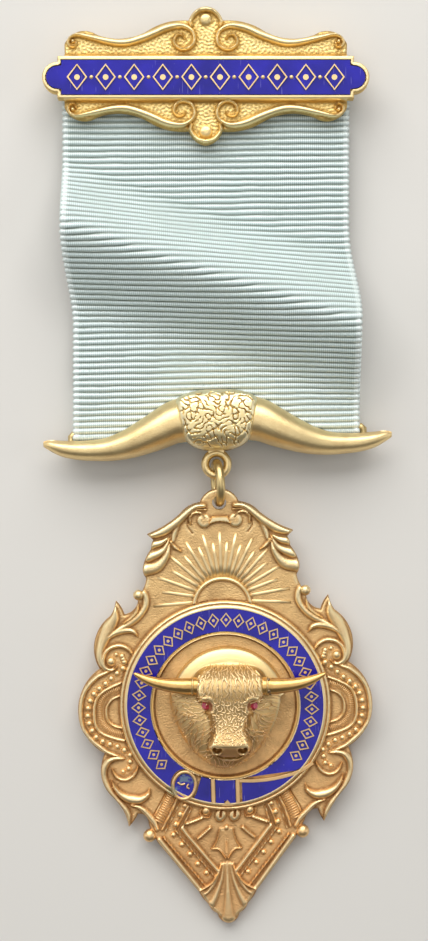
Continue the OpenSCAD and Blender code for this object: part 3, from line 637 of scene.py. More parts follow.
# Runs a tree on points or a mesh in millimetres and keeps the result as a plain mesh in its place
def grow(name, points, edges, faces, tree, values, place, attributes=None, sharp=None):
    mesh = bpy.data.meshes.new(name)
    mesh.from_pydata(np.array(points, float).tolist(), edges, faces)
    for key, numbers in (attributes or {}).items():
        numbers = np.asarray(numbers, np.float32)
        if numbers.ndim == 2:
            mesh.attributes.new(key, "FLOAT_VECTOR", "POINT").data.foreach_set("vector", numbers.ravel())
        else:
            mesh.attributes.new(key, "FLOAT", "POINT").data.foreach_set("value", numbers)
    if faces:
        mesh.shade_smooth()
    obj = bpy.data.objects.new(name, mesh)
    bpy.context.scene.collection.objects.link(obj)
    modifier = obj.modifiers.new("grow", "NODES")
    modifier.node_group = tree
    sockets = {item.name: item.identifier for item in tree.interface.items_tree
               if item.item_type == "SOCKET" and item.in_out == "INPUT"}
    for label, value in values.items():
        modifier[sockets[label]] = value
    bpy.context.view_layer.update()
    plain = bpy.data.meshes.new_from_object(obj.evaluated_get(bpy.context.evaluated_depsgraph_get()))
    obj.modifiers.remove(modifier)
    used = [material for material in plain.materials if material]  # the tree's shapes bring an empty slot
    plain.materials.clear()
    plain.materials.append(used[0])
    plain.polygons.foreach_set("material_index", [0] * len(plain.polygons))
    plain.transform(inMetres(place) @ Matrix.Scale(mm, 4))
    if sharp:
        plain.set_sharp_from_angle(angle=math.radians(sharp))
    obj.data = plain
    return obj


def beadTree(material):  # a small ball on each point, as large as the point's size
    tree, given = startTree("beads", [("Segments", "Int", 14), ("Rings", "Int", 9)])
    ball = addNode(tree, "GeometryNodeMeshUVSphere",
                   {"Segments": given["Segments"], "Rings": given["Rings"], "Radius": 1.0})
    size = addNode(tree, "GeometryNodeInputNamedAttribute", {"Name": "size"}, data_type="FLOAT")
    placed = addNode(tree, "GeometryNodeInstanceOnPoints",
                     {"Points": given["Geometry"], "Instance": ball, "Scale": size})
    return endTree(tree, placed, material)


def rayTree(material):  # rays that fan out from a sun, short and long in turn, closer together on top
    tree, given = startTree("sunburst", [
        ("Count", "Int", 22), ("Spread", "Float", 3.25), ("Crowd", "Float", 0.22), ("Lean", "Float", -0.05),
        ("Inner", "Float", 3.0), ("Long", "Float", 9.2), ("Short", "Float", 7.8), ("Width", "Float", 0.5),
        ("Height", "Float", 0.15)])
    line = addNode(tree, "GeometryNodeMeshLine", {"Count": given["Count"]})
    index = addNode(tree, "GeometryNodeInputIndex")
    # Across runs from -1 at one end of the fan to 1 at the other
    last = addNode(tree, "ShaderNodeMath", {0: given["Count"], 1: 1.0}, operation="SUBTRACT")
    share = addNode(tree, "ShaderNodeMath", {0: index, 1: last}, operation="DIVIDE")
    across = addNode(tree, "ShaderNodeMath", {0: share, 1: 2.0, 2: -1.0}, operation="MULTIPLY_ADD")
    square = addNode(tree, "ShaderNodeMath", {0: across, 1: across}, operation="MULTIPLY")
    inwards = addNode(tree, "ShaderNodeMath", {0: square, 1: 1.0}, operation="SUBTRACT")
    crowd = addNode(tree, "ShaderNodeMath", {0: inwards, 1: given["Crowd"], 2: 1.0},
                    operation="MULTIPLY_ADD")
    crowded = addNode(tree, "ShaderNodeMath", {0: crowd, 1: across}, operation="MULTIPLY")
    halfSpread = addNode(tree, "ShaderNodeMath", {0: given["Spread"], 1: 2.0}, operation="DIVIDE")
    fan = addNode(tree, "ShaderNodeMath", {0: crowded, 1: halfSpread}, operation="MULTIPLY")
    nearTop = addNode(tree, "ShaderNodeMath", {0: 1.0, 1: square}, operation="SUBTRACT")
    leant = addNode(tree, "ShaderNodeMath", {0: nearTop, 1: given["Lean"], 2: fan},
                    operation="MULTIPLY_ADD")
    angle = addNode(tree, "ShaderNodeMath", {0: leant, 1: math.pi / 2}, operation="ADD")
    cosine = addNode(tree, "ShaderNodeMath", {0: angle}, operation="COSINE")
    sine = addNode(tree, "ShaderNodeMath", {0: angle}, operation="SINE")
    x = addNode(tree, "ShaderNodeMath", {0: cosine, 1: given["Inner"]}, operation="MULTIPLY")
    y = addNode(tree, "ShaderNodeMath", {0: sine, 1: given["Inner"]}, operation="MULTIPLY")
    foot = addNode(tree, "ShaderNodeCombineXYZ", {"X": x, "Y": y})
    spots = addNode(tree, "GeometryNodeSetPosition", {"Geometry": line, "Position": foot})
    # Every second ray is long, and so are the outermost ones
    more = addNode(tree, "ShaderNodeMath", {0: given["Long"], 1: given["Short"]}, operation="SUBTRACT")
    odd = addNode(tree, "ShaderNodeMath", {0: index, 1: 2.0}, operation="MODULO")
    extra = addNode(tree, "ShaderNodeMath", {0: odd, 1: more}, operation="MULTIPLY")
    outermost = addNode(tree, "ShaderNodeMath", {0: square, 1: 8.0}, operation="POWER")
    edge = addNode(tree, "ShaderNodeMath", {0: more, 1: outermost, 2: extra}, operation="MULTIPLY_ADD")
    wanted = addNode(tree, "ShaderNodeMath", {0: edge, 1: given["Short"]}, operation="ADD")
    reach = addNode(tree, "ShaderNodeMath", {0: wanted, 1: given["Long"]}, operation="MINIMUM")
    length = addNode(tree, "ShaderNodeMath", {0: reach, 1: given["Inner"]}, operation="SUBTRACT")
    halfWidth = addNode(tree, "ShaderNodeMath", {0: given["Width"], 1: 2.0}, operation="DIVIDE")
    size = addNode(tree, "ShaderNodeCombineXYZ", {"X": length, "Y": halfWidth, "Z": given["Height"]})
    cone = addNode(tree, "GeometryNodeMeshCone",
                   {"Vertices": 14, "Side Segments": 3, "Radius Top": 0.78, "Radius Bottom": 1.0,
                    "Depth": 1.0})
    laid = addNode(tree, "GeometryNodeTransform", {"Geometry": cone, "Rotation": (0, math.pi / 2, 0)})
    turn = addNode(tree, "ShaderNodeCombineXYZ", {"Z": angle})
    placed = addNode(tree, "GeometryNodeInstanceOnPoints",
                     {"Points": spots, "Instance": laid, "Rotation": turn, "Scale": size})
    return endTree(tree, placed, material)


def strandTree(material):  # bent tapered strands that lie on a surface: locks of hair
    tree, given = startTree("strands", [
        ("Length", "Float", 1.0), ("Width", "Float", 0.35), ("Near", "Float", 0.2), ("Far", "Float", 0.2),
        ("Root", "Float", 0.3), ("Flatness", "Float", 0.8)])
    half = addNode(tree, "ShaderNodeMath", {0: given["Length"], 1: 2.0}, operation="DIVIDE")
    third = addNode(tree, "ShaderNodeMath", {0: given["Length"], 1: 3.0}, operation="DIVIDE")
    halfBack = addNode(tree, "ShaderNodeMath", {0: half, 1: -1.0}, operation="MULTIPLY")
    thirdBack = addNode(tree, "ShaderNodeMath", {0: third, 1: -1.0}, operation="MULTIPLY")
    start = addNode(tree, "ShaderNodeCombineXYZ", {"X": halfBack})
    end = addNode(tree, "ShaderNodeCombineXYZ", {"X": half})
    near = addNode(tree, "ShaderNodeCombineXYZ", {"X": third, "Y": given["Near"]})
    far = addNode(tree, "ShaderNodeCombineXYZ", {"X": thirdBack, "Y": given["Far"]})
    line = addNode(tree, "GeometryNodeCurvePrimitiveBezierSegment",
                   {"Resolution": 7, "Start": start, "End": end, "Start Handle": near, "End Handle": far},
                   mode="OFFSET")
    # Thin at the root, full after a third of the length and thin at the tip
    share = addNode(tree, "GeometryNodeSplineParameter")
    rise = addNode(tree, "ShaderNodeMath", {0: share, 1: 3.0, 2: given["Root"]}, operation="MULTIPLY_ADD")
    swell = addNode(tree, "ShaderNodeMath", {0: rise, 1: 1.0}, operation="MINIMUM")
    cube = addNode(tree, "ShaderNodeMath", {0: share, 1: 3.0}, operation="POWER")
    thinned = addNode(tree, "ShaderNodeMath", {0: cube, 1: -0.97, 2: 1.0}, operation="MULTIPLY_ADD")
    taper = addNode(tree, "ShaderNodeMath", {0: thinned, 1: 0.6}, operation="POWER")
    full = addNode(tree, "ShaderNodeMath", {0: swell, 1: taper}, operation="MULTIPLY")
    halfWidth = addNode(tree, "ShaderNodeMath", {0: given["Width"], 1: 2.0}, operation="DIVIDE")
    radius = addNode(tree, "ShaderNodeMath", {0: full, 1: halfWidth}, operation="MULTIPLY")
    section = addNode(tree, "GeometryNodeCurvePrimitiveCircle", {"Resolution": 7, "Radius": 1.0})
    tube = addNode(tree, "GeometryNodeCurveToMesh",
                   {"Curve": line, "Profile Curve": section, "Scale": radius, "Fill Caps": True})
    flat = addNode(tree, "ShaderNodeCombineXYZ", {"X": 1.0, "Y": 1.0, "Z": given["Flatness"]})
    strand = addNode(tree, "GeometryNodeTransform", {"Geometry": tube, "Scale": flat})
    # Each strand stands on the surface's normal and turns about it
    normal = addNode(tree, "GeometryNodeInputNamedAttribute", {"Name": "normal"}, data_type="FLOAT_VECTOR")
    upright = addNode(tree, "FunctionNodeAlignRotationToVector", {"Vector": normal}, axis="Z")
    angle = addNode(tree, "GeometryNodeInputNamedAttribute", {"Name": "turn"}, data_type="FLOAT")
    spin = addNode(tree, "ShaderNodeCombineXYZ", {"Z": angle})
    turned = addNode(tree, "FunctionNodeRotateRotation", {"Rotation": upright, "Rotate By": spin},
                     rotation_space="LOCAL")
    size = addNode(tree, "GeometryNodeInputNamedAttribute", {"Name": "size"}, data_type="FLOAT")
    placed = addNode(tree, "GeometryNodeInstanceOnPoints",
                     {"Points": given["Geometry"], "Instance": strand, "Rotation": turned, "Scale": size})
    return endTree(tree, placed, material)


def layStrands(name, spots, turns, sizes, form, base, tree, values, place):  # strands on a height form
    spots = np.array(spots)
    step = 0.06
    z = form(spots)
    slopeX = (form(spots + [step, 0]) - form(spots - [step, 0])) / (2 * step)
    slopeY = (form(spots + [0, step]) - form(spots - [0, step])) / (2 * step)
    normal = np.stack([-slopeX, -slopeY, np.ones(len(z))], 1)
    normal /= np.linalg.norm(normal, axis=1)[:, None]
    return grow(name, np.c_[spots, z + base], [], [], tree, values, place,
                {"normal": normal, "turn": turns, "size": sizes})


def hatchTree(material):  # short round bars across a line
    tree, given = startTree("hatching", [
        ("Count", "Int", 12), ("Length", "Float", 1.2), ("Width", "Float", 0.2), ("Height", "Float", 0.2)])
    curve = addNode(tree, "GeometryNodeMeshToCurve", {"Mesh": given["Geometry"]})
    even = addNode(tree, "GeometryNodeResampleCurve", {"Curve": curve, "Count": given["Count"]})
    bar = addNode(tree, "GeometryNodeMeshCylinder", {"Vertices": 10, "Radius": 0.5, "Depth": 1.0})
    laid = addNode(tree, "GeometryNodeTransform", {"Geometry": bar, "Rotation": (0, math.pi / 2, 0)})
    tangent = addNode(tree, "GeometryNodeInputTangent")
    turn = addNode(tree, "FunctionNodeAlignRotationToVector", {"Vector": tangent}, axis="Y", pivot_axis="Z")
    sunk = addNode(tree, "ShaderNodeMath", {0: given["Height"], 1: 2.0}, operation="MULTIPLY")
    size = addNode(tree, "ShaderNodeCombineXYZ", {"X": given["Length"], "Y": given["Width"], "Z": sunk})
    placed = addNode(tree, "GeometryNodeInstanceOnPoints",
                     {"Points": even, "Instance": laid, "Rotation": turn, "Scale": size})
    return endTree(tree, placed, material)


def inlayTree(material):  # open lozenges with a pellet in the middle, along a line
    tree, given = startTree("lozenges", [
        ("Count", "Int", 9), ("Width", "Float", 2.0), ("Height", "Float", 2.8), ("Stroke", "Float", 0.42),
        ("Thickness", "Float", 0.2), ("Pellet", "Float", 0.3)])
    curve = addNode(tree, "GeometryNodeMeshToCurve", {"Mesh": given["Geometry"]})
    even = addNode(tree, "GeometryNodeResampleCurve", {"Curve": curve, "Count": given["Count"]})
    half = addNode(tree, "ShaderNodeMath", {0: given["Height"], 1: 2.0}, operation="DIVIDE")
    lozenge = addNode(tree, "GeometryNodeCurvePrimitiveQuadrilateral",
                      {"Width": given["Width"], "Bottom Height": half, "Top Height": half}, mode="KITE")
    section = addNode(tree, "GeometryNodeCurvePrimitiveQuadrilateral",
                      {"Width": given["Thickness"], "Height": given["Stroke"]}, mode="RECTANGLE")
    stroke = addNode(tree, "GeometryNodeCurveToMesh", {"Curve": lozenge, "Profile Curve": section})
    pellet = addNode(tree, "GeometryNodeMeshCylinder",
                     {"Vertices": 14, "Radius": given["Pellet"], "Depth": given["Thickness"]})
    both = addNode(tree, "GeometryNodeJoinGeometry", {0: stroke})
    tree.links.new(pellet.outputs["Mesh"], both.inputs[0])
    tangent = addNode(tree, "GeometryNodeInputTangent")
    turn = addNode(tree, "FunctionNodeAlignRotationToVector", {"Vector": tangent}, axis="X", pivot_axis="Z")
    placed = addNode(tree, "GeometryNodeInstanceOnPoints",
                     {"Points": even, "Instance": both, "Rotation": turn})
    return endTree(tree, placed, material)


def ribTree(material):  # fat wefts: a rounded rib across the cloth for every pitch of its run
    tree, given = startTree("ribs", [
        ("Pitch", "Float", 0.78), ("Depth", "Float", 0.12), ("Drift", "Float", 0.3)])
    run = addNode(tree, "GeometryNodeInputNamedAttribute", {"Name": "run"}, data_type="FLOAT")
    place = addNode(tree, "GeometryNodeInputPosition")
    noise = addNode(tree, "ShaderNodeTexNoise", {"Vector": place, "Scale": 0.3, "Detail": 2.0})
    swing = addNode(tree, "ShaderNodeMath", {0: noise, 1: 0.5}, operation="SUBTRACT")
    moved = addNode(tree, "ShaderNodeMath", {0: swing, 1: given["Drift"], 2: run}, operation="MULTIPLY_ADD")
    turns = addNode(tree, "ShaderNodeMath", {0: moved, 1: given["Pitch"]}, operation="DIVIDE")
    halfTurns = addNode(tree, "ShaderNodeMath", {0: turns, 1: math.pi}, operation="MULTIPLY")
    sine = addNode(tree, "ShaderNodeMath", {0: halfTurns}, operation="SINE")
    wave = addNode(tree, "ShaderNodeMath", {0: sine}, operation="ABSOLUTE")
    rib = addNode(tree, "ShaderNodeMath", {0: wave, 1: 0.7}, operation="POWER")
    rise = addNode(tree, "ShaderNodeMath", {0: rib, 1: given["Depth"]}, operation="MULTIPLY")
    normal = addNode(tree, "GeometryNodeInputNormal")
    lift = addNode(tree, "ShaderNodeVectorMath", {0: normal, "Scale": rise}, operation="SCALE")
    marked = addNode(tree, "GeometryNodeStoreNamedAttribute",
                     {"Geometry": given["Geometry"], "Name": "rib", "Value": rib},
                     data_type="FLOAT", domain="POINT")
    ribbed = addNode(tree, "GeometryNodeSetPosition", {"Geometry": marked, "Offset": lift})
    return endTree(tree, ribbed, material)


balls = beadTree(polished)
hatching = hatchTree(polished)


def chain(line):  # edges that join the points of a line
    return [(i, i + 1) for i in range(len(line) - 1)]


# Pendant

pendant = {
    "step": 0.125,
    # Right half of the outline from the lug to the tip: x, y and bow
    "outline": [
        (0, 29.05, 0.5), (2.6, 27.3, 0.3), (5.3, 25.85, -0.25), (9.75, 23.25, 0),
        (8.95, 22.45, 0.1), (9.3, 21.2, 0.12), (10.4, 19.1, 0.2), (10.05, 17.3, -0.1),
        (10.7, 15.6, 0), (11.25, 14.5, -0.5), (13.15, 12.5, 0.15), (14.25, 14.4, -0.15),
        (15.1, 12.3, 1.4), (16.65, 5.3, 3.25), (16.35, -6.1, 1.05), (15.3, -12.1, -0.2),
        (13.15, -15.85, 0.1), (12.1, -14.35, -0.4), (10.5, -15.6, 0), (9.3, -17.9, 0),
        (3.9, -24.8, 0.15), (2.65, -26.5, 0.25), (1.45, -27.85, 0.4), (0, -29.2, 0)],
    # Scrolls and leaves of the right half: line, widths along it, rise
    "scrolls": [
        ([(2.0, 26.9), (3.0, 26.85), (3.85, 26.4), (4.75, 25.65), (5.65, 24.9), (6.6, 24.25), (7.7, 23.6),
          (8.9, 23.2), (9.8, 23.1)], [0.6, 0.8, 0.95, 1.1, 1.3, 1.45, 1.4, 1.05, 0.3], 0.66),
        ([(1.75, 26.35), (2.8, 26.4), (3.7, 26.0), (4.5, 25.5)], [0.3, 0.36, 0.3, 0.2], 0.4),
        ([(3.95, 24.5), (4.0, 25.3), (3.5, 25.9), (2.85, 26.0), (2.3, 25.75), (1.95, 25.35)],
         [0.25, 0.4, 0.42, 0.42, 0.4, 0.2], 0.45),
        ([(4.95, 25.5), (5.65, 24.4), (6.1, 23.25), (6.3, 22.3)], [0.5, 0.8, 0.8, 0.5], 0.34),
        ([(6.65, 22.2), (6.15, 21.5), (5.3, 20.85)], [0.3, 0.55, 0.15], 0.45),
        ([(6.8, 22.85), (7.9, 22.1), (9.2, 21.8)], [0.2, 0.9, 1.1], 0.5),
        ([(6.75, 22.6), (7.75, 21.0), (9.6, 20.15)], [0.2, 1.0, 1.25], 0.52),
        ([(6.65, 22.2), (7.3, 20.3), (8.5, 18.9), (10.2, 18.5)], [0.2, 0.9, 1.5, 1.7], 0.58),
        ([(11.85, 14.7), (11.7, 15.4), (11.05, 15.7), (10.4, 15.35), (10.15, 14.5), (10.3, 13.6),
          (11.0, 12.55), (12.1, 11.65), (13.2, 11.0), (14.4, 10.45)],
         [0.5, 0.7, 0.85, 0.9, 0.9, 0.95, 1.1, 1.05, 0.8, 0.4], 0.5),
        ([(11.25, 13.9), (11.45, 12.95), (12.2, 12.15), (13.3, 11.45)], [0.3, 0.45, 0.45, 0.2], 0.62),
        ([(14.3, 13.8), (14.55, 12.25), (15.35, 10.65), (16.1, 9.05), (16.5, 7.6), (16.4, 6.3), (15.9, 5.3)],
         [0.25, 1.5, 1.8, 1.6, 1.2, 1.0, 0.6], 0.62),
        ([(16.0, 8.5), (15.5, 9.4), (14.7, 10.05), (13.75, 10.4), (12.7, 10.5), (11.9, 10.25), (11.4, 9.6)],
         [0.2, 0.5, 0.85, 1.0, 0.95, 0.7, 0.15], 0.55),
        ([(12.1, 7.05), (12.6, 7.85), (13.4, 8.35), (14.2, 8.45), (15.1, 8.2), (15.85, 7.55), (16.15, 6.65),
          (16.05, 5.8), (15.5, 5.3), (14.85, 5.25), (14.3, 5.65)],
         [0.3, 0.5, 0.55, 0.6, 0.6, 0.6, 0.6, 0.6, 0.55, 0.4, 0.2], 0.55),
        ([(14.85, 5.5), (15.65, 4.95), (16.8, 4.45), (17.9, 3.55), (18.7, 2.5), (19.2, 1.25), (19.4, -0.5),
          (19.25, -2.25), (18.6, -3.45), (17.8, -4.4), (16.85, -5.2), (16.0, -5.85), (14.9, -6.3),
          (14.1, -6.5)],
         [0.2, 0.5, 0.6, 0.65, 0.65, 0.65, 0.65, 0.65, 0.65, 0.65, 0.65, 0.65, 0.55, 0.3], 0.5),
        ([(13.7, 3.5), (15.3, 2.85), (16.55, 2.1), (17.25, 1.2), (17.6, -0.4), (17.45, -2.15), (16.7, -3.25),
          (15.1, -4.0), (13.3, -4.45)], [0.45, 0.5, 0.5], 0.42),
        ([(13.9, 1.75), (15.1, 1.25), (15.8, 0.35), (15.95, -0.75), (15.7, -1.7), (14.95, -2.35),
          (13.9, -2.65)], [0.4, 0.45, 0.4], 0.38),
        ([(13.85, -6.75), (15.0, -6.75), (15.9, -7.15), (16.5, -8.1), (16.65, -9.4), (16.25, -10.6),
          (15.55, -11.75), (14.65, -12.8), (13.85, -13.65), (13.3, -14.6), (13.1, -15.7)],
         [0.4, 0.7, 0.9, 1.05, 1.2, 1.25, 1.15, 1.05, 0.95, 0.75, 0.2], 0.6),
        ([(15.4, -8.25), (15.0, -9.05), (14.35, -9.55), (13.55, -9.65), (12.75, -9.25), (12.2, -8.6),
          (11.9, -7.95)], [0.25, 0.5, 0.52, 0.52, 0.5, 0.2], 0.5),
        ([(15.5, -9.75), (15.05, -10.8), (14.3, -11.7), (13.2, -12.3), (12.0, -12.45), (11.2, -12.15),
          (10.65, -11.6), (10.45, -10.95)], [0.2, 0.6, 0.9, 1.15, 1.35, 1.15, 0.75, 0.1], 0.68),
        ([(13.0, -13.15), (12.2, -13.35), (11.4, -13.8), (10.6, -14.55), (9.8, -15.3), (9.3, -16.2)],
         [0.3, 0.6, 0.75, 0.75, 0.7, 0.5], 0.52),
        ([(8.25, -11.7), (9.85, -14.6)], [0.16, 0.16], 0.18),
        ([(6.8, -12.4), (8.65, -16.25)], [0.34, 0.34], 0.38),
        ([(6.4, -12.75), (8.2, -16.5)], [0.2, 0.2], 0.3),
        ([(9.0, -17.5), (3.75, -24.45)], [0.75, 0.75], 0.48),
        ([(8.4, -17.25), (2.95, -24.0)], [0.26, 0.26], 0.42),
        ([(6.85, -16.3), (1.6, -22.9)], [0.26, 0.26], 0.36),
        ([(5.95, -16.1), (1.3, -21.95)], [0.62, 0.62], 0.46),
        ([(5.35, -13.45), (6.9, -16.3)], [0.26, 0.26], 0.36),
        ([(4.95, -13.75), (5.95, -16.1)], [0.26, 0.26], 0.36),
        ([(5.4, -15.6), (3.5, -15.0)], [0.44, 0.44], 0.55),
        ([(3.75, -17.5), (2.2, -16.2)], [0.44, 0.44], 0.55),
        ([(2.2, -14.4), (2.5, -14.95), (3.3, -14.9), (3.7, -14.3), (3.3, -13.6)], [0.15, 0.3, 0.3], 0.4),
        ([(0.85, -16.4), (1.2, -17.7), (1.9, -18.9)], [0.26, 0.26], 0.42),
        ([(1.95, -18.95), (1.2, -19.0), (0.65, -19.5), (0.15, -20.3)], [0.28, 0.28], 0.44),
        ([(0.12, -17.6), (0.1, -19.6)], [0.15, 0.15], 0.38),
        ([(0.0, -20.9), (0.0, -24.8), (0, -28.3)], [0.35, 0.8, 1.9], 0.55),
        ([(0.45, -21.0), (0.8, -23.1), (1.5, -25.1), (2.15, -26.4)], [0.3, 0.5, 0.8, 1.2], 0.52),
        ([(0.8, -21.2), (1.5, -23.1), (2.5, -24.6), (3.1, -25.1)], [0.3, 0.5, 0.75, 0.5], 0.5),
        ([(1.3, -22.4), (2.1, -23.6), (3.7, -24.55)], [0.4, 0.42, 0.42], 0.62)],
    # Grooves of the right half: line, width, depth
    "grooves": [
        ([(3.8, 25.4), (4.35, 24.3), (3.7, 23.2)], 0.26, 0.14),
        ([(0.95, -14.4), (0.95, -14.85)], 0.36, 0.45),
        ([(8.25, -11.45), (10.1, -14.7)], 0.16, 0.12)],
    "sun": {"at": (0, 13.3), "radius": 4.05, "rim": 0.58, "rise": 0.16, "rimRise": 0.48},
    # Round fields: middle, radius, rise, how square the section is
    "discs": [((2.1, 24.85), 0.95, 0.34, 3), ((0.95, -14.75), 0.78, 0.45, 2)],
    # Flat fields: corners, rise, width of the rounded edge
    "fields": [
        ([(-0.3, 25.45), (1.05, 25.4), (1.3, 24.9), (1.7, 24.25), (0.8, 24.55), (-0.3, 24.75)], 0.5, 0.15),
        ([(-0.3, -16.2), (0.85, -16.2), (1.2, -17.7), (1.95, -18.95), (1.15, -19.15), (0.6, -19.7),
          (-0.3, -20.5)], 0.22, 0.1),
        ([(-0.3, -20.8), (0.9, -20.9), (1.4, -22.5), (2.2, -23.7), (3.8, -24.65), (2.7, -26.6),
          (1.5, -27.9), (-0.3, -29.1)], 0.26, 0.2)],
    # Section of the garter's metal from the middle outwards: radius, height above the ground
    "garter": [
        (0, 0), (9.36, 0), (9.42, -0.1), (9.5, -0.1), (9.56, 0.45), (9.64, 0.68), (9.74, 0.62), (9.8, 0.66),
        (9.92, 0.86), (10.02, 0.9), (10.06, 0.88), (10.07, 0.3), (13.12, 0.3), (13.13, 0.88), (13.18, 0.9),
        (13.3, 0.9), (13.44, 0.84), (13.58, 0.66), (13.66, 0.62), (13.76, 0.74), (13.88, 0.76),
        (14.02, 0.62), (14.14, 0.35), (14.2, 0)],
    "garterR": 14.2,
    # Circles of the garter that stay crisp
    "rings": [9.36, 9.42, 9.5, 9.64, 9.74, 9.92, 10.06, 10.07, 13.12, 13.13, 13.3, 13.44, 13.66, 13.82,
              14.02, 14.2],
    "bareR": 6.8,  # under the head
    "edgeRound": 0.28,  # width and depth
    # Beads of the right half: line, how many, radius
    "beadRows": [
        ([(13.6, 7.0), (13.35, 6.2)], 2, 0.42),
        ([(14.4, 7.25), (14.4, 7.25)], 1, 0.34),
        ([(13.55, 5.35), (14.5, 4.6), (15.4, 3.8), (16.3, 3.05), (17.15, 2.4), (17.8, 1.6), (18.25, 0.55),
          (18.45, -0.5), (18.4, -1.5), (18.1, -2.5), (17.75, -3.35), (17.2, -4.05), (16.45, -4.5),
          (15.65, -4.85), (14.7, -5.15), (13.7, -5.7)], 16, 0.44),
        ([(12.95, -6.4), (13.0, -7.35), (13.2, -8.2)], 3, 0.42),
        ([(13.95, -8.6), (13.95, -8.6)], 1, 0.36),
        ([(5.8, -13.45), (6.35, -14.45), (6.85, -15.6), (7.1, -16.95)], 4, 0.42),
        ([(6.0, -18.3), (4.9, -19.7), (3.9, -21.05), (2.8, -22.25)], 4, 0.42)],
    # Round knobs on both sides: x, y, height of the middle above the back, radius
    "knobs": [(15.1, 6.35, 1.25, 0.62), (11.15, 15.15, 1.2, 0.72), (10.3, -17.0, 1.0, 0.88),
              (2.95, -14.15, 1.3, 0.55)],
    "middleBead": (0, -16.2, plateT + 0.2, 0.36),
    # Rays above the sun, from their own middle
    "raysAt": (0, 14.1),
    "rays": {"Count": 22, "Spread": math.radians(186), "Crowd": 0.22, "Lean": math.radians(-3),
             "Inner": 2.95, "Long": 9.2, "Short": 7.85, "Width": 0.52, "Height": 0.11},
    # Hatching on the right side: line that the bars cross, how many, length, width
    "hatchRows": [
        ([(7.65, -12.15), (9.25, -15.25)], 12, 1.2, 0.19),
        ([(14.1, 2.6), (15.6, 2.0), (16.6, 0.9), (16.85, -0.6), (16.5, -2.0), (15.5, -3.05), (14.0, -3.6)],
         38, 0.75, 0.12),
        ([(14.9, -11.5), (15.5, -10.7)], 4, 0.55, 0.14),
        ([(15.6, 9.9), (15.95, 9.1)], 4, 0.5, 0.14)],
    "hatchH": 0.2,
    # Lean of the point: below which height and over what length it sets in, how far to the left and down
    "lean": {"from": -13.5, "over": 3.5, "left": 0.38, "down": 0.42},
}


def pendantHeight(p, edgeGap):
    q = np.stack([np.abs(p[:, 0]), p[:, 1]], 1)
    z = np.zeros(len(p))
    sun = pendant["sun"]
    raiseDisc(z, q, sun["at"], sun["radius"], sun["rise"], 6)
    fromSun = np.hypot(q[:, 0] - sun["at"][0], q[:, 1] - sun["at"][1])
    t = np.clip(np.abs(fromSun - sun["radius"] + sun["rim"] / 2) / (sun["rim"] / 2), 0, 1)
    z = np.maximum(z, np.where(t < 1, sun["rimRise"] * (1 - t * t) ** 0.6, z))
    for disc in pendant["discs"]:
        raiseDisc(z, q, *disc)
    for field in pendant["fields"]:
        raisePatch(z, q, *field)
    for line, widths, rise in pendant["scrolls"]:
        raiseRidge(z, q, line, widths, rise)
    for line, width, depth in pendant["grooves"]:
        cutGroove(z, q, line, width, depth)
    r = np.hypot(p[:, 0], p[:, 1])
    section = np.array(pendant["garter"])
    z = np.where(r < pendant["garterR"], np.interp(r, section[:, 0], section[:, 1]), z)
    z -= pendant["edgeRound"] * (1 - np.clip(edgeGap / pendant["edgeRound"], 0, 1)) ** 2
    return z + plateT


crestLines = [bend(line) for line, _, _ in pendant["scrolls"]]
pendantOutline = wholeOutline(pendant["outline"])
crestLines = [line[insideOf(line, pendantOutline)] for line in crestLines]
crestLines = [line[np.hypot(line[:, 0], line[:, 1]) > pendant["garterR"] + 0.1] for line in crestLines]
crestLines = [line for line in crestLines if len(line) > 2]
plate = stamp("pendant_plate_struck", pendantOutline, pendant["step"], pendantHeight, onPendant, matted,
              own=mirroredX(crestLines), hole=(0, layout["lugY"], layout["lugHole"]),
              bare=pendant["bareR"], rings=pendant["rings"])
print("pendant struck,", len(plate.data.vertices), "points")

beadPoints = []
beadSizes = []
for line, count, radius in pendant["beadRows"]:
    line = bend(line)
    run = np.linalg.norm(np.diff(line, axis=0), axis=1).sum()
    for x, y in line[:1] if count == 1 else evenly(line, run / (count - 1)):
        beadPoints += [(x, y, plateT), (-x, y, plateT)]
        beadSizes += [radius, radius]
beadPoints.append(pendant["middleBead"][:3])
beadSizes.append(pendant["middleBead"][3])
for x, y, z, radius in pendant["knobs"]:
    beadPoints += [(x, y, z), (-x, y, z)]
    beadSizes += [radius, radius]
beads = grow("pendant_beads", beadPoints, [], [], balls, {"Segments": 16, "Rings": 10}, onPendant,
             {"size": beadSizes})

sunRays = grow("sunburst_rays", [(0, 0, 0)], [], [], rayTree(polished), pendant["rays"],
               onPendant @ Matrix.Translation((*pendant["raysAt"], plateT)))

hatches = []
for i, (line, count, length, width) in enumerate(pendant["hatchRows"]):
    for side in (1, -1):
        path = [(x * side, y, plateT) for x, y in bend(line)]
        hatches.append(grow(f"hatch_{i}_{side}", path, chain(path), [], hatching,
                            {"Count": count, "Length": length, "Width": width,
                             "Height": pendant["hatchH"]}, onPendant))
hatched = joined("pendant_hatching", hatches)


def leanPoint(piece):  # the struck point leans a little to the left and runs a little lower
    lean = pendant["lean"]
    here = inMetres(onPendant)
    piece.data.transform(here.inverted())
    co = np.zeros(len(piece.data.vertices) * 3)
    piece.data.vertices.foreach_get("co", co)
    co = co.reshape(-1, 3)
    share = smoothStep((lean["from"] * mm - co[:, 1]) / (lean["over"] * mm))
    co[:, 0] -= lean["left"] * mm * share
    co[:, 1] -= lean["down"] * mm * share
    piece.data.vertices.foreach_set("co", co.ravel())
    piece.data.transform(here)


for piece in (plate, beads, hatched):
    leanPoint(piece)
print("pendant beads, rays and hatching grown")

# Garter: gilt walls, buckle and running ornament on the enamel

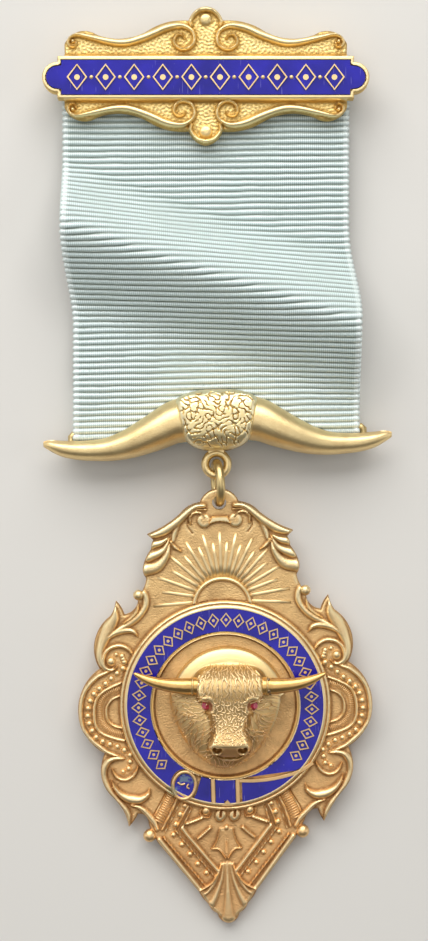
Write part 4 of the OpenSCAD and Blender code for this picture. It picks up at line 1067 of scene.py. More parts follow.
garter = {
    "top": layout["garterT"],
    "enamelTop": layout["garterT"] - layout["enamelSunk"],
    "foot": 1.5,  # of the walls, under the enamel
    # Walls between the enamel fields: line and width
    "walls": [([(-1.95, -13.2), (-1.95, -9.8)], 0.52), ([(1.35, -13.2), (1.35, -9.9)], 0.52),
              ([(1.6, -10.15), (4, -10.2), (6.5, -9.95), (9.2, -9.3), (10.6, -8.6), (11.5, -8.0)], 0.46)],
    "wallPoint": [(-0.1, -12.65), (-0.85, -13.5), (0.65, -13.5)],
    "buckle": {"at": (-5.8, -10.55), "across": 1.5, "up": 1.85, "turn": -12, "wire": 0.24},
    # Wires on the buckle: x, y and height above the garter's top, and the wire's radius
    "buckleWires": {
        "tongue": ([(-6.7, -10.1, -0.03), (-6.2, -10.4, 0), (-5.7, -10.3, -0.03)], 0.13),
        "crook": ([(-5.2, -10.35, -0.03), (-5.45, -10.75, 0), (-5.15, -11.0, -0.03)], 0.11)},
    # Lozenges along an arc, from one angle to the other
    "arcR": 11.6,
    "arcFrom": 221,
    "arcTo": -37,
    "lozenges": {"Count": 32, "Width": 1.35, "Height": 1.75, "Stroke": 0.36, "Thickness": 0.22,
                 "Pellet": 0.2},
}


def bandSlab(line, width):  # outline of a strip along a line
    line = evenly(bend(line), 0.3)
    along = np.gradient(line, axis=0)
    side = np.stack([-along[:, 1], along[:, 0]], 1) / np.linalg.norm(along, axis=1)[:, None] * width / 2
    return np.vstack([line + side, (line - side)[::-1]])


def slab(name, outline, low, high, bevel, place, material):  # flat plate with softened upper edges
    outline = np.array(outline, float)
    middle = outline.mean(0)
    ahead = np.roll(outline, -1, 0) - outline
    behind = outline - np.roll(outline, 1, 0)
    normal = np.stack([ahead[:, 1] + behind[:, 1], -ahead[:, 0] - behind[:, 0]], 1)
    normal /= np.linalg.norm(normal, axis=1)[:, None]
    if ((outline - middle) * normal).sum() < 0:
        normal = -normal
    inner = outline - normal * bevel
    rings = [np.c_[outline, np.full(len(outline), low)], np.c_[outline, np.full(len(outline), high - bevel)],
             np.c_[inner, np.full(len(outline), high)]]
    return loft(name, rings, place, material, sharp=30)


wallPieces = [slab(f"wall_{i}", bandSlab(line, width), garter["foot"], garter["top"] - 0.01, 0.05,
                   onPendant, flush)
              for i, (line, width) in enumerate(garter["walls"])]
wallPieces.append(slab("wall_point", garter["wallPoint"], garter["foot"], garter["top"] - 0.01, 0.05,
                       onPendant, flush))
buckle = garter["buckle"]
turnBuckle = Matrix.Rotation(math.radians(buckle["turn"]), 2)
loopPoints = []
for angle in roundAngles(60):
    x, y = turnBuckle @ Vector((buckle["across"] * math.cos(angle), buckle["up"] * math.sin(angle)))
    loopPoints.append((buckle["at"][0] + x, buckle["at"][1] + y, garter["enamelTop"]))
wallPieces.append(wire("buckle_loop", loopPoints, buckle["wire"], onPendant, flush, closed=True))
for label, (line, radius) in garter["buckleWires"].items():
    raised = np.array(line) + [0, 0, garter["top"]]
    wallPieces.append(wire(f"buckle_{label}", bend(raised), radius, onPendant, flush))
buckleFill = slab("buckle_enamel", [p[:2] for p in loopPoints[::2]], garter["foot"] + 0.1,
                  garter["enamelTop"], 0.02, onPendant, enamel)

inlays = inlayTree(flush)
inlaySunk = 0.08  # middle of an inlay under the enamel's top
arc = [(garter["arcR"] * math.cos(a), garter["arcR"] * math.sin(a), garter["enamelTop"] - inlaySunk)
       for a in np.radians(np.linspace(garter["arcFrom"], garter["arcTo"], 80))]
garterBand = grow("garter_lozenges", arc, chain(arc), [], inlays, garter["lozenges"], onPendant, sharp=30)
garterMetal = joined("garter_metal", wallPieces + [garterBand])
print("garter walls and ornament made")

# Bull's head

head = {
    "step": 0.11,
    "at": (0, 0.4),
    "turn": -1.6,
    "faceX": 0.6,
    "dome": (0.4, -0.3, 7.9),
    # Section of the domed ground: share of its radius, height
    "domeSection": [(0, 1.9), (0.5, 1.86), (0.75, 1.7), (0.85, 1.52), (0.92, 1.3), (0.965, 1.05),
                    (0.99, 0.65), (1, 0.12)],
    # Height on the face, half width, height above the ground
    "ruff": [(2.5, 5.6, 2.2), (1.9, 7.2, 2.8), (0.9, 7.45, 3.2), (-0.7, 7.25, 3.4), (-2.4, 6.7, 3.6),
             (-4.05, 6, 3.6), (-6.05, 4.7, 3.5), (-7.3, 3.4, 3.0), (-8.1, 2.3, 2.3), (-8.6, 1.2, 1.6),
             (-8.8, 0.5, 1.2)],
    "face": [(5.6, 1.2, 1.9), (5.2, 2.5, 2.3), (4.7, 3.4, 3.1), (4.1, 4.0, 4.0), (3.4, 4.35, 4.7),
             (2.2, 4.4, 5.2), (1, 3.9, 5.3), (0.1, 3.3, 5.25), (-0.9, 2.6, 5.2), (-1.9, 2.15, 5.3),
             (-3.1, 2.0, 5.6), (-4, 2.3, 5.95), (-4.75, 2.6, 6.25), (-5.15, 2.7, 6.1), (-5.7, 2.6, 5.4),
             (-6.3, 2.3, 4.7), (-6.8, 1.7, 4.0), (-7.3, 0.9, 3.4)],
    # Height on the face, width of its soft sides
    "flanks": [(-7.3, 0.5), (-6, 0.6), (-4.6, 0.8), (-2, 1.3), (0.5, 1.2), (2, 0.9), (5, 1.2)],
    # Painted shade, with some dirt, between the hairs and on the muzzle's front: height on the face and share
    # of it there, and on the cheeks
    "shadeAndDirt": [(-6.9, 0.8), (-6.5, 1), (-5.1, 1), (-4.7, 0.8), (0.8, 0.8), (1.6, 1)],
    "cheekShadeAndDirt": 0.35,
    # Distance out, height on the face, height above the ground, radius
    "horns": [(3, 2.6, 2.9, 1.15), (4.6, 2.6, 2.9, 1.15), (6.4, 2.65, 3.1, 1.05), (8.2, 2.85, 3.35, 0.92),
              (9.8, 3.2, 3.6, 0.78), (11.2, 3.7, 3.8, 0.58), (12.4, 4.3, 3.95, 0.3), (12.7, 4.45, 4.0, 0.1)],
    # Ridges and grooves of the face, mirrored: line, widths and rise, or width and depth
    "ridges": [
        ([(2.25, 1.05), (2.9, 1.35), (3.6, 1.25), (4.1, 0.8)], [0.35, 0.6, 0.6, 0.3], 0.2),
        ([(2.3, -0.6), (2.9, -0.95), (3.5, -0.85), (4.0, -0.35)], [0.2, 0.4, 0.4, 0.2], 0.16),
        ([(1.15, -5.85), (1.55, -6.2), (2.05, -6.15), (2.35, -5.7)], [0.25, 0.5, 0.5, 0.3], 0.5),
        ([(-0.3, -7.25), (1.0, -7.1), (1.8, -6.6)], [0.5, 0.45, 0.2], 0.3)],
    "grooves": [([(1.3, -5.45), (1.75, -5.65), (2.05, -5.35)], 0.6, 0.8),
                ([(-0.3, -6.85), (1.1, -6.75), (2.0, -6.3)], 0.34, 0.35)],
    "eye": (3.15, 0.15),
    "socket": {"out": 0.1, "across": 1.0, "up": 0.92, "depth": 1.0},
    # Collar wires at the roots of the horns, and solder on them: x, y, height above the ground, radius
    "collar": {"out": 4.95, "up": 2.6, "high": 2.9, "radius": 1.13, "wire": 0.16},
    "solder": [(5.75, 2.1, 3.75, 0.34), (5.7, 3.55, 3.5, 0.24), (5.95, 1.75, 3.4, 0.26),
               (-4.75, 2.2, 3.8, 0.16)],
    # Hair of the forelock, from the brow up: height on the face, half width, length, width of a lock
    "brow": [(0.75, 1.9, 0.55, 0.34), (1.2, 2.7, 0.7, 0.42), (1.7, 3.6, 0.85, 0.48), (2.25, 4.1, 0.95, 0.5),
             (2.8, 4.35, 0.95, 0.5), (3.35, 4.4, 0.95, 0.46), (3.85, 4.35, 0.95, 0.4), (4.3, 3.8, 1.0, 0.32),
             (4.75, 3.3, 1.3, 0.28), (5.1, 2.7, 1.3, 0.24)],
    "browUp": 0.12,
    # Combed fur of the cheeks and stipple of the nose: distance of the locks, how far they stand up
    "cheeks": {"spacing": 0.5, "up": 0.16, "wavePitch": 3.4, "waveTurn": 0.5, "waveSeed": 9,
               "near": -0.3, "far": 0.26,
               "locks": {"Length": 1.7, "Width": 0.44, "Root": 0.3, "Flatness": 1.3}},
    "nose": {"spacing": 0.3, "up": 0.08, "eyeGap": 0.95,
             "locks": {"Length": 0.42, "Width": 0.3, "Near": 0.05, "Far": -0.05, "Root": 0.7,
                       "Flatness": 1.0}},
    "seed": 11,
}
headBase = plateT + 0.06
onHead = (onPendant @ Matrix.Translation((*head["at"], 0))
          @ Matrix.Rotation(math.radians(head["turn"]), 4, "Z"))


def crossSection(x, y, rows, power):  # height over a form given by rows of half width and height
    rows = np.array(sorted(rows))
    at = bend(rows, per=8)
    half = np.interp(y, at[:, 0], at[:, 1], left=0, right=0)
    top = np.interp(y, at[:, 0], at[:, 2], left=0, right=0)
    low, high = rows[0, 0], rows[-1, 0]
    ends = np.clip(np.minimum((y - low) / 0.35, (high - y) / 0.35), 0, 1) ** 0.5
    t = np.clip(np.abs(x) / np.maximum(half, 0.01), 0, 1)
    return np.where(t < 1, top * (1 - t ** power) ** 0.4, 0) * ends


def softMax(a, b, blend):
    return np.maximum(a, b) + np.clip(blend - np.abs(a - b), 0, None) ** 2 / (4 * blend)


def domeForm(p):
    domeX, domeY, domeR = head["dome"]
    section = bend(head["domeSection"])
    return np.interp(np.hypot(p[:, 0] - domeX, p[:, 1] - domeY) / domeR, section[:, 0], section[:, 1])


def headForm(p):
    x, y = p[:, 0], p[:, 1]
    fx = x - head["faceX"]
    dome = domeForm(p)
    ruff = crossSection(x, y, head["ruff"], 2.6)
    skin = softMax(dome, ruff, 0.25)
    # The face stands on the cheeks like a wedge with soft sides
    rows = bend(sorted(head["face"]), per=8)
    half = np.interp(y, rows[:, 0], rows[:, 1])
    top = np.interp(y, rows[:, 0], rows[:, 2])
    flanks = np.array(head["flanks"])
    soft = np.interp(y, flanks[:, 0], flanks[:, 1])
    ends = smoothStep((y + 7.6) / 0.5) * smoothStep((5.9 - y) / 1.3)
    side = smoothStep((half + soft * 0.6 - np.abs(fx)) / soft) * ends
    crown = top - 0.35 * np.clip(np.abs(fx) / np.maximum(half, 0.1), 0, 1) ** 2
    q = np.stack([np.abs(fx), y], 1)
    extra = np.zeros(len(p))
    for line, widths, rise in head["ridges"]:
        raiseRidge(extra, q, line, widths, rise)
    socket = head["socket"]
    away = np.hypot((q[:, 0] - head["eye"][0] - socket["out"]) / socket["across"],
                    (y - head["eye"][1]) / socket["up"])
    extra -= socket["depth"] * np.clip(1 - away ** 4, 0, 1)
    for line, width, depth in head["grooves"]:
        cutGroove(extra, q, line, width, depth)
    return skin + np.clip(crown - skin, 0, None) * side + extra * np.clip(side * 2, 0, 1)


def headShade(p):  # painted shade, with some dirt, between the hairs and on the muzzle's front; the bare dome stays clear
    shadeAndDirt = np.array(head["shadeAndDirt"])
    onFace = np.interp(p[:, 1], shadeAndDirt[:, 0], shadeAndDirt[:, 1])
    besideFace = (np.abs(p[:, 0] - head["faceX"]) >= 2.6) & (p[:, 1] <= 0.8)
    shade = np.where(besideFace, head["cheekShadeAndDirt"], onFace)
    return shade * np.clip((headForm(p) - domeForm(p) - 0.1) / 0.4, 0, 1)


def headHeight(p, edgeGap):
    return headBase + np.maximum(headForm(p), 0.05) * np.clip(edgeGap / 0.05, 0.1, 1)


# The domed ground shows above the horns only; below them the fur is the outline
ruffLine = bend(np.array(sorted(head["ruff"]))[:, :2])
headLoop = []
domeX, domeY, domeR = head["dome"]
for angle in roundAngles(240):
    c, s = math.cos(angle), math.sin(angle)
    k = np.arange(5.0, 9.4, 0.02)  # distances to try from the middle outwards
    onFur = np.abs(k * c) < np.interp(k * s, ruffLine[:, 0], ruffLine[:, 1], left=0, right=0)
    onDome = (np.hypot(k * c - domeX, k * s - domeY) < domeR) & (k * s > 1.2)
    headLoop.append(k[onFur | onDome].max() * np.array((c, s)))
skull = stamp("bull_head_struck", np.array(headLoop), head["step"], headHeight, onHead, toned, soft=2.2,
              shade=headShade)

hair = strandTree(pale)
rng = np.random.default_rng(head["seed"])
hairPieces = []
for row, (level, half, length, width) in enumerate(head["brow"]):
    count = int(2 * half / (width * 1.2))
    across = (2 * (np.arange(count) + 0.5 * (row % 2) + 0.25) / count - 1) * half + rng.normal(0, 0.05, count)
    spots = np.stack([head["faceX"] + across, level + rng.normal(0, 0.08, count)], 1)
    turns = -math.pi / 2 + across * 0.07 + rng.normal(0, 0.3, count)
    way = 1 - 2 * (row % 2)
    hairPieces.append(layStrands(f"brow_{row}", spots, turns, rng.uniform(0.75, 1.2, count), headForm,
                                 headBase + head["browUp"], hair,
                                 {"Length": length, "Width": width, "Near": 0.22 * way, "Far": -0.2 * way,
                                  "Root": 0.6, "Flatness": 1.2}, onHead))


def scatter(low, high, spacing, fits):  # random spots that keep their distance from each other
    found = []
    for _ in range(6000):
        x, y = rng.uniform(low, high)
        if fits(x, y) and (not found or np.hypot(*(np.array(found) - (x, y)).T).min() > spacing):
            found.append((x, y))
    return np.array(found)


def onCheek(x, y):  # between the face and the outline of the fur
    wide = np.interp(y, ruffLine[:, 0], ruffLine[:, 1], left=0, right=0)
    besideFace = y <= -7.5 or abs(x - head["faceX"]) >= max(0.42 * wide, 2.7)
    return abs(x) <= wide - 0.15 and besideFace


def onNose(x, y):  # clear of the eyes
    return math.hypot(abs(x) - head["eye"][0], y - head["eye"][1]) >= nose["eyeGap"]


cheeks, nose = head["cheeks"], head["nose"]
for side in (1, -1):
    spots = scatter((-7.6, -8.8), (7.6, 1.8), cheeks["spacing"], lambda x, y: x * side >= 0 and onCheek(x, y))
    turns = np.arctan2(spots[:, 1] - 0.9, spots[:, 0] - head["faceX"]) + rng.normal(0, 0.12, len(spots))
    # The hair runs in soft waves
    turns += cheeks["waveTurn"] * wavePattern(spots, cheeks["wavePitch"], cheeks["waveSeed"])
    hairPieces.append(layStrands(f"cheek_{side}", spots, turns, rng.uniform(0.75, 1.25, len(spots)), headForm,
                                 headBase + cheeks["up"], hair,
                                 {**cheeks["locks"], "Near": cheeks["near"] * side,
                                  "Far": cheeks["far"] * side}, onHead))
spots = scatter((-2.2, -4.6), (2.2, 0.9), nose["spacing"], onNose) + [head["faceX"], 0]
hairPieces.append(layStrands("nose_stipple", spots, rng.uniform(0, math.pi, len(spots)),
                             rng.uniform(0.8, 1.2, len(spots)), headForm, headBase + nose["up"], hair,
                             nose["locks"], onHead))
headHair = joined("bull_hair", hairPieces)
headParts = []
collar = head["collar"]
for side in (1, -1):
    rings = []
    for out, up, high, radius in bend(head["horns"], per=5):
        rings.append(np.array([(head["faceX"] + side * out, up + radius * math.cos(a),
                                headBase + high + radius * math.sin(a)) for a in roundAngles(24)]))
    headParts.append(loft(f"head_horn_{side}", rings, onHead, burnished))
    collarLine = [(head["faceX"] + side * collar["out"], collar["up"] + collar["radius"] * math.cos(a),
                   headBase + collar["high"] + collar["radius"] * math.sin(a)) for a in roundAngles(36)]
    headParts.append(wire(f"head_collar_{side}", collarLine, collar["wire"], onHead, dulled, closed=True))
headParts.append(grow("horn_solder", [(x, y, headBase + z) for x, y, z, _ in head["solder"]], [], [],
                      beadTree(solder), {"Segments": 12, "Rings": 8}, onHead,
                      {"size": [radius for *_, radius in head["solder"]]}))
headHorns = joined("bull_horns", headParts)
print("bull's head made")

# Brooch bar

bar = {
    "step": 0.125,
    "plaqueW": 39.4, "plaqueH": 5.6, "plaqueY": -0.4, "lobe": 2.05, "lobeH": 2.0,
    "ground": 1.2, "plaqueT": 2.3, "cell": 1.75, "cellInset": 0.42,
    # The plaque's wall: distance in from the plaque's edge, height
    "wall": [(-0.6, 0.9), (-0.08, 2.1), (0.02, 2.24), (0.12, 2.3)],
    "edgeRound": (0.3, 0.25),  # width and depth
    "stipple": {"pitch": 0.5, "rise": 0.07, "seed": 3},  # drawn coarser than the real punch marks
    # Round fields between the scrolls: middle, radius, rise
    "discs": [((0, 7.5), 0.9, 0.42), ((17.72, 4.55), 0.32, 0.6)],
    "outline": [(0, 9.25, 0.42), (2.25, 7.35, 0.42), (7.4, 6.2, -0.87), (14.6, 5.5, 1.05), (18.85, 4.2, 0),
                (18.8, 2.4, 0), (19.7, 2.4, 0), (19.7, 1.6, 2.05), (19.7, -2.4, 0), (19.7, -3.2, 0),
                (18.8, -3.2, 0), (18.85, -4.2, 1.05), (14.6, -5.5, -0.87), (7.4, -6.2, 0.42),
                (2.25, -7.35, 0.42), (0, -9.25, 0)],
    # Scrolls of the upper right quarter: line, widths, rise above the cresting's ground
    "scrolls": [
        ([(17.25, 4.35), (17.45, 3.85), (17.95, 3.8), (18.3, 4.3), (18.15, 4.95), (17.5, 5.35), (16.7, 5.35),
          (14.9, 4.95), (12.8, 4.5), (11.3, 4.35), (10.0, 4.5), (8.15, 5.1), (6.8, 5.65), (5.45, 6.25),
          (3.9, 6.6), (2.75, 6.5), (1.8, 5.85), (1.5, 4.9), (1.8, 4.0), (2.6, 3.5), (3.45, 3.55), (4.1, 4.1),
          (4.2, 4.85), (3.75, 5.4), (3.1, 5.35), (2.75, 4.85)],
         [0.35, 0.45, 0.6, 0.8, 1.0, 1.1, 1.15, 1.15, 1.1, 1.05, 0.8, 0.62, 0.6, 0.58, 0.5, 0.3], 0.78),
        ([(0, 8.85), (1.0, 8.6), (1.7, 7.95), (2.05, 7.2), (1.9, 6.6)], [0.75, 0.75, 0.7, 0.5], 0.78)],
}


def plaqueLoop(inset):
    w, h = bar["plaqueW"] / 2 - inset, bar["plaqueH"] / 2 - inset
    loop = wholeOutline([(0, h, 0), (w, h, 0), (w, bar["lobeH"] - inset, bar["lobe"]),
                         (w, inset - bar["lobeH"], 0), (w, -h, 0), (0, -h, 0)])
    return loop + [0, bar["plaqueY"]]


def barHeight(p, edgeGap):
    q = np.abs(p)
    stipple = bar["stipple"]
    z = stipple["rise"] * smoothStep(0.75 + wavePattern(p, stipple["pitch"], stipple["seed"]))
    for line, widths, rise in bar["scrolls"]:
        raiseRidge(z, q, line, widths, rise)
    for disc in bar["discs"]:
        raiseDisc(z, q, *disc)
    z += bar["ground"]
    wide, deep = bar["edgeRound"]
    z -= deep * (1 - np.clip(edgeGap / wide, 0, 1)) ** 2
    loop = plaqueLoop(0)
    gap, _ = nearLine(p, np.vstack([loop, loop[:1]]))
    depth = np.where(insideOf(p, loop), gap, -gap)
    wall = np.array(bar["wall"])
    z = np.maximum(z, np.where(depth > wall[0, 0] - 0.02, np.interp(depth, wall[:, 0], wall[:, 1]), 0))
    return np.where(depth > bar["cellInset"] + 0.012, bar["cell"], z)


barOutline = wholeOutline(bar["outline"])
own = [plaqueLoop(i) for i in (0.02, bar["cellInset"], bar["cellInset"] + 0.025)]
own = [np.vstack([line, line[:1]]) for line in own]
quarter = [bend(line) for line, _, _ in bar["scrolls"]]
own += [line * [sx, sy] for line in quarter for sx in (1, -1) for sy in (1, -1)]
barPlate = stamp("brooch_bar_struck", barOutline, bar["step"], barHeight, onBar, stippled, own=own)

# Blocks behind the bar that hold the pin
pinBlocks = {"y": 3.4, "span": 31, "block": 2.4}
# Wires that the ribbon is folded round, with the heights of each wire and of its feet on the medal
ribbonWires = {"reach": 19.65, "low": -1.7, "radius": 0.5, "bar": (-1.2, 0.6), "suspender": (-1.4, -3.4)}


def box(name, low, high, place, material):
    corners = [(low[0], low[1]), (high[0], low[1]), (high[0], high[1]), (low[0], high[1])]
    return slab(name, corners, low[2], high[2], 0.08, place, material)


def backWire(name, wireY, footY, place, material):  # wire that the ribbon is folded round
    reach, low = ribbonWires["reach"], ribbonWires["low"]
    turnY = math.copysign(0.35, footY - wireY)
    path = [(-reach, footY, 0.3), (-reach, footY, low + 0.3), (-reach, footY - turnY * 0.8, low),
            (-reach, wireY + turnY, low), (-reach + 0.35, wireY, low), (reach - 0.35, wireY, low),
            (reach, wireY + turnY, low), (reach, footY - turnY * 0.8, low), (reach, footY, low + 0.3),
            (reach, footY, 0.3)]
    return wire(name, path, ribbonWires["radius"], place, material)


fittings = [backWire("bar_wire", *ribbonWires["bar"], onBar, dulled)]
for side in (-1, 1):
    x, y, half = side * pinBlocks["span"] / 2, pinBlocks["y"], pinBlocks["block"] / 2
    fittings.append(box(f"pin_block_{side}", (x - half, y - half, -layout["lift"]), (x + half, y + half, 0.3),
                        onBar, satin))
barFittings = joined("brooch_bar_fittings", fittings)

# Running ornament of lozenges and pellets where a plaque of this kind carries its inlay
ornament = {
    "reach": 17.1,
    "lozenges": {"Count": 10, "Width": 2.5, "Height": 3.3, "Stroke": 0.6, "Thickness": 0.22, "Pellet": 0.38},
    "pellet": 0.36,
    "pelletSunk": 0.3,
}
ornamentLine = [(x, bar["plaqueY"], bar["plaqueT"] - layout["enamelSunk"] - inlaySunk)
                for x in (-ornament["reach"], ornament["reach"])]
lozenges = grow("bar_lozenges", ornamentLine, chain(ornamentLine), [], inlays, ornament["lozenges"], onBar,
                sharp=30)
between = ornament["lozenges"]["Count"] - 1
pelletLine = [(ornament["reach"] * (2 * (i + 0.5) / between - 1), bar["plaqueY"],
               bar["plaqueT"] - ornament["pelletSunk"]) for i in range(between)]
pellets = grow("bar_pellets", pelletLine, [], [], beadTree(flush), {"Segments": 16, "Rings": 10}, onBar,
               {"size": [ornament["pellet"]] * between})
barOrnament = joined("bar_ornament", [lozenges, pellets])
print("brooch bar made")

# Suspender

horns = {
    # Distance out, upper edge, lower edge, thickness
    "rows": [(3.6, 3.1, -2.7, 4.0), (5.0, 3.0, -2.85, 4.05), (5.5, 2.85, -2.95, 4.05), (7, 2.3, -3.5, 3.95),
             (9, 1.05, -4.1, 3.7), (11, -0.2, -4.6, 3.3), (13, -1.3, -4.9, 2.8), (15, -2.05, -5, 2.4),
             (17, -2.3, -4.9, 2.1), (19, -2.35, -4.7, 1.9), (21, -2.25, -4.2, 1.6), (22.5, -2.15, -3.4, 1.1),
             (23.3, -2.35, -2.85, 0.5)],
    # Height on the face, half width, share of the full thickness
    "boss": [(4.15, 1.2, 0.55), (3.85, 3.2, 0.72), (3.4, 4.6, 0.84), (2.7, 5.45, 0.94), (1.4, 5.45, 1),
             (-0.4, 5.1, 1), (-1.8, 4.7, 0.96), (-2.7, 4.25, 0.88), (-3.4, 3.45, 0.76), (-3.9, 2.3, 0.6),
             (-4.2, 0.9, 0.4)],
    "bossT": 4.62,
    "step": 0.1,
    "curls": {"pitch": 1.05, "rise": 0.24, "seed": 5},
    # Eyelet: its radius, half its thickness across and up, height of its middle
    "eyelet": {"radius": 1.5, "across": 0.54, "up": 0.7, "z": 0.5},
    # Neck between the eyelet and the boss: half its width at both ends, where they are, heights
    "neck": {"narrow": 1.0, "wide": 1.4, "from": 1.2, "to": 3.4, "low": -0.15, "high": 1.1},
}
hornParts = []
for side in (1, -1):
    rings = []
    for out, upper, lower, thick in bend(horns["rows"], per=4):
        half, middle = (upper - lower) / 2, (upper + lower) / 2
        section = [(side * out, middle + half + 0.08, 0), (side * out, middle + half + 0.08, 0.14)]
        for a in np.linspace(0.1, math.pi - 0.1, 22):
            c, s = math.cos(a), math.sin(a)
            section.append((side * out, middle + half * math.copysign(abs(c) ** 0.85, c), thick * s ** 0.85))
        section += [(side * out, middle - half - 0.08, 0.14), (side * out, middle - half - 0.08, 0)]
        rings.append(np.array(section))
    hornParts.append(loft(f"suspender_horn_{side}", rings, onHorns, satin))
suspenderHorns = joined("suspender_horns", hornParts)

bossLoop = np.array([(x, y) for y, x, _ in horns["boss"]] + [(-x, y) for y, x, _ in horns["boss"][::-1]])


def bossForm(p):
    rows = [(y, w, s * horns["bossT"]) for y, w, s in horns["boss"]]
    return crossSection(p[:, 0], p[:, 1], rows, 18.0)


def bossHeight(p, edgeGap):
    curls = horns["curls"]
    # Short worm-like curls parted by narrow grooves
    gaps = np.clip(wavePattern(p, 1.5 * curls["pitch"], curls["seed"] + 1), 0, None)
    curl = smoothStep(1.9 * np.abs(wavePattern(p, curls["pitch"], curls["seed"])) + 0.75 * gaps)
    curl *= curls["rise"] * smoothStep((edgeGap - 0.25) / 0.2)
    return np.maximum(bossForm(p) + curl, 0.1)


bossEdge = evenly(bend(bossLoop, closed=True), 0.2, closed=True)
boss = stamp("suspender_boss", bossEdge, horns["step"], bossHeight, onHorns, chasedBoss)
eyeX, eyeY = layout["eyelet"]
eyeletForm = horns["eyelet"]
eyeletPoints = []
for a in roundAngles(64):
    for b in roundAngles(16):
        out = eyeletForm["radius"] + eyeletForm["across"] * math.cos(b)
        eyeletPoints.append((out * math.cos(a) + eyeX, out * math.sin(a) + eyeY,
                             eyeletForm["z"] + eyeletForm["up"] * math.sin(b)))
eyelet = makePiece("eyelet", eyeletPoints, tubeFaces(64, 16, closed=True), onHorns, satin, mend=True)
neck = horns["neck"]
neckLoop = [(eyeX - neck["narrow"], eyeY + neck["from"]), (eyeX + neck["narrow"], eyeY + neck["from"]),
            (eyeX + neck["wide"], eyeY + neck["to"]), (eyeX - neck["wide"], eyeY + neck["to"])]
suspenderFittings = joined("suspender_fittings", [
    eyelet, slab("neck", neckLoop, neck["low"], neck["high"], 0.1, onHorns, satin),
    backWire("suspender_wire", *ribbonWires["suspender"], onHorns, dulled)])
print("suspender made")

# Jump ring

ring = {"wire": 0.58, "slack": 0.15, "turn": 98}
eyeletAt = onHorns @ Vector((eyeX, eyeY, 0))
lugAt = (Matrix.Translation((*layout["pendant"], 0))
         @ Matrix.Rotation(math.radians(layout["pendantTurn"]), 4, "Z")
         @ Vector((0, layout["lugY"], 0)))
middle = (eyeletAt + lugAt) / 2
reach = (eyeletAt.xy - lugAt.xy).length / 2 + ring["slack"]
ringAngle = math.atan2(eyeletAt.y - lugAt.y, eyeletAt.x - lugAt.x)
ringPlace = (Matrix.Translation((middle.x, middle.y, layout["ringZ"])) @ Matrix.Rotation(ringAngle, 4, "Z")
             @ Matrix.Rotation(math.radians(ring["turn"]), 4, "X"))
ringPoints = [(reach * math.cos(a), reach * math.sin(a), 0) for a in roundAngles(72)]
jumpRing = wire("jump_ring_wire", ringPoints, ring["wire"], ringPlace, dulled, closed=True)
print("jump ring made")

# Ribbon

ribbon = {
    "width": 37.7, "wall": 0.5,
    # Folds: radius and height of their middle, their places, the flaps behind them and the front's height
    "foldR": 1.1, "backZ": 1.6, "foldTop": 50.8, "foldLow": 4.7, "flap": 6.0, "frontZ": 2.7,
    # Wave: its height, reach above and below the crest, and where and how steeply the crest crosses
    "waveH": 5.8, "waveUp": 9.5, "waveDown": 12.0, "waveY": 25.4, "slope": 0.333,
    # Sag of the ribs in the middle of the upper part
    "dip": 1.1, "dipFrom": 20, "dipOver": 24, "dipEnd": 4,
    # From here on, over this length, the ribbon's middle moves over from the bar's to the suspender's
    "shiftFrom": 32, "shiftOver": 13, "shiftX": -0.1,
    # Ribs, and how far their loops stand out at the edges
    "pitch": 0.78, "depth": 0.27, "drift": 0.2, "loops": 0.2,
    "columns": 44, "step": 0.0975,
}
silk = grosgrain(ribbon["width"])


def clothPoint(y, z, share, front, u):  # u runs from -1 to 1 across the ribbon
    shift = layout["horns"][0] + ribbon["shiftX"] - layout["bar"][0]
    midX = layout["bar"][0] + shift * smoothStep((ribbon["shiftFrom"] - y) / ribbon["shiftOver"])
    x = midX + u * ribbon["width"] / 2
    yy = y + share * (x - layout["horns"][0]) * math.sin(math.radians(layout["hornsTurn"]))
    above = yy - (ribbon["waveY"] - ribbon["slope"] * x)
    t = np.clip(np.where(above > 0, above / ribbon["waveUp"], above / ribbon["waveDown"]), -1, 1)
    zz = z + front * ribbon["waveH"] * (1 - np.abs(t) ** 1.6) ** 2
    sag = smoothStep((y - ribbon["dipFrom"]) / ribbon["dipOver"])
    sag *= np.clip((ribbon["foldTop"] - y) / ribbon["dipEnd"], 0, 1)
    return x, yy - front * ribbon["dip"] * (1 - u * u) * sag, zz


# Path of the ribbon from the flap behind the bar to the flap behind the suspender: y, z, share of the
# way down, and 1 on the front
top, low = ribbon["foldTop"], ribbon["foldLow"]
path = [(top - ribbon["flap"] * (1 - i / 40), ribbon["backZ"] - ribbon["foldR"], 0, 0) for i in range(40)]
path += [(top + ribbon["foldR"] * math.cos(a), ribbon["backZ"] + ribbon["foldR"] * math.sin(a), 0, 0)
         for a in np.linspace(-math.pi / 2, math.pi / 2, 30)]
path += [(top + (low - top) * t, ribbon["frontZ"], t, 1) for t in np.linspace(0, 1, 700)[1:-1]]
path += [(low + ribbon["foldR"] * math.cos(a), ribbon["backZ"] + ribbon["foldR"] * math.sin(a), 1, 0)
         for a in np.linspace(math.pi / 2, 3 * math.pi / 2, 30)]
path += [(low + ribbon["flap"] * i / 40, ribbon["backZ"] - ribbon["foldR"], 1, 0) for i in range(1, 41)]
path = np.array(path)
columns = []
runs = []
across = np.concatenate([[-1, -0.985], np.linspace(-0.955, 0.955, ribbon["columns"] - 3), [0.985, 1]])
for u in across:
    line = np.stack(clothPoint(path[:, 0], path[:, 1], path[:, 2], path[:, 3], u), 1)
    runs.append(np.linalg.norm(np.diff(line, axis=0), axis=1).sum())
    columns.append(line)
clothLength = min(runs)
rowsCount = int(clothLength / ribbon["step"])
cloth = np.zeros((rowsCount + 1, ribbon["columns"] + 1, 3))
clothRun = np.linspace(0, clothLength, rowsCount + 1)
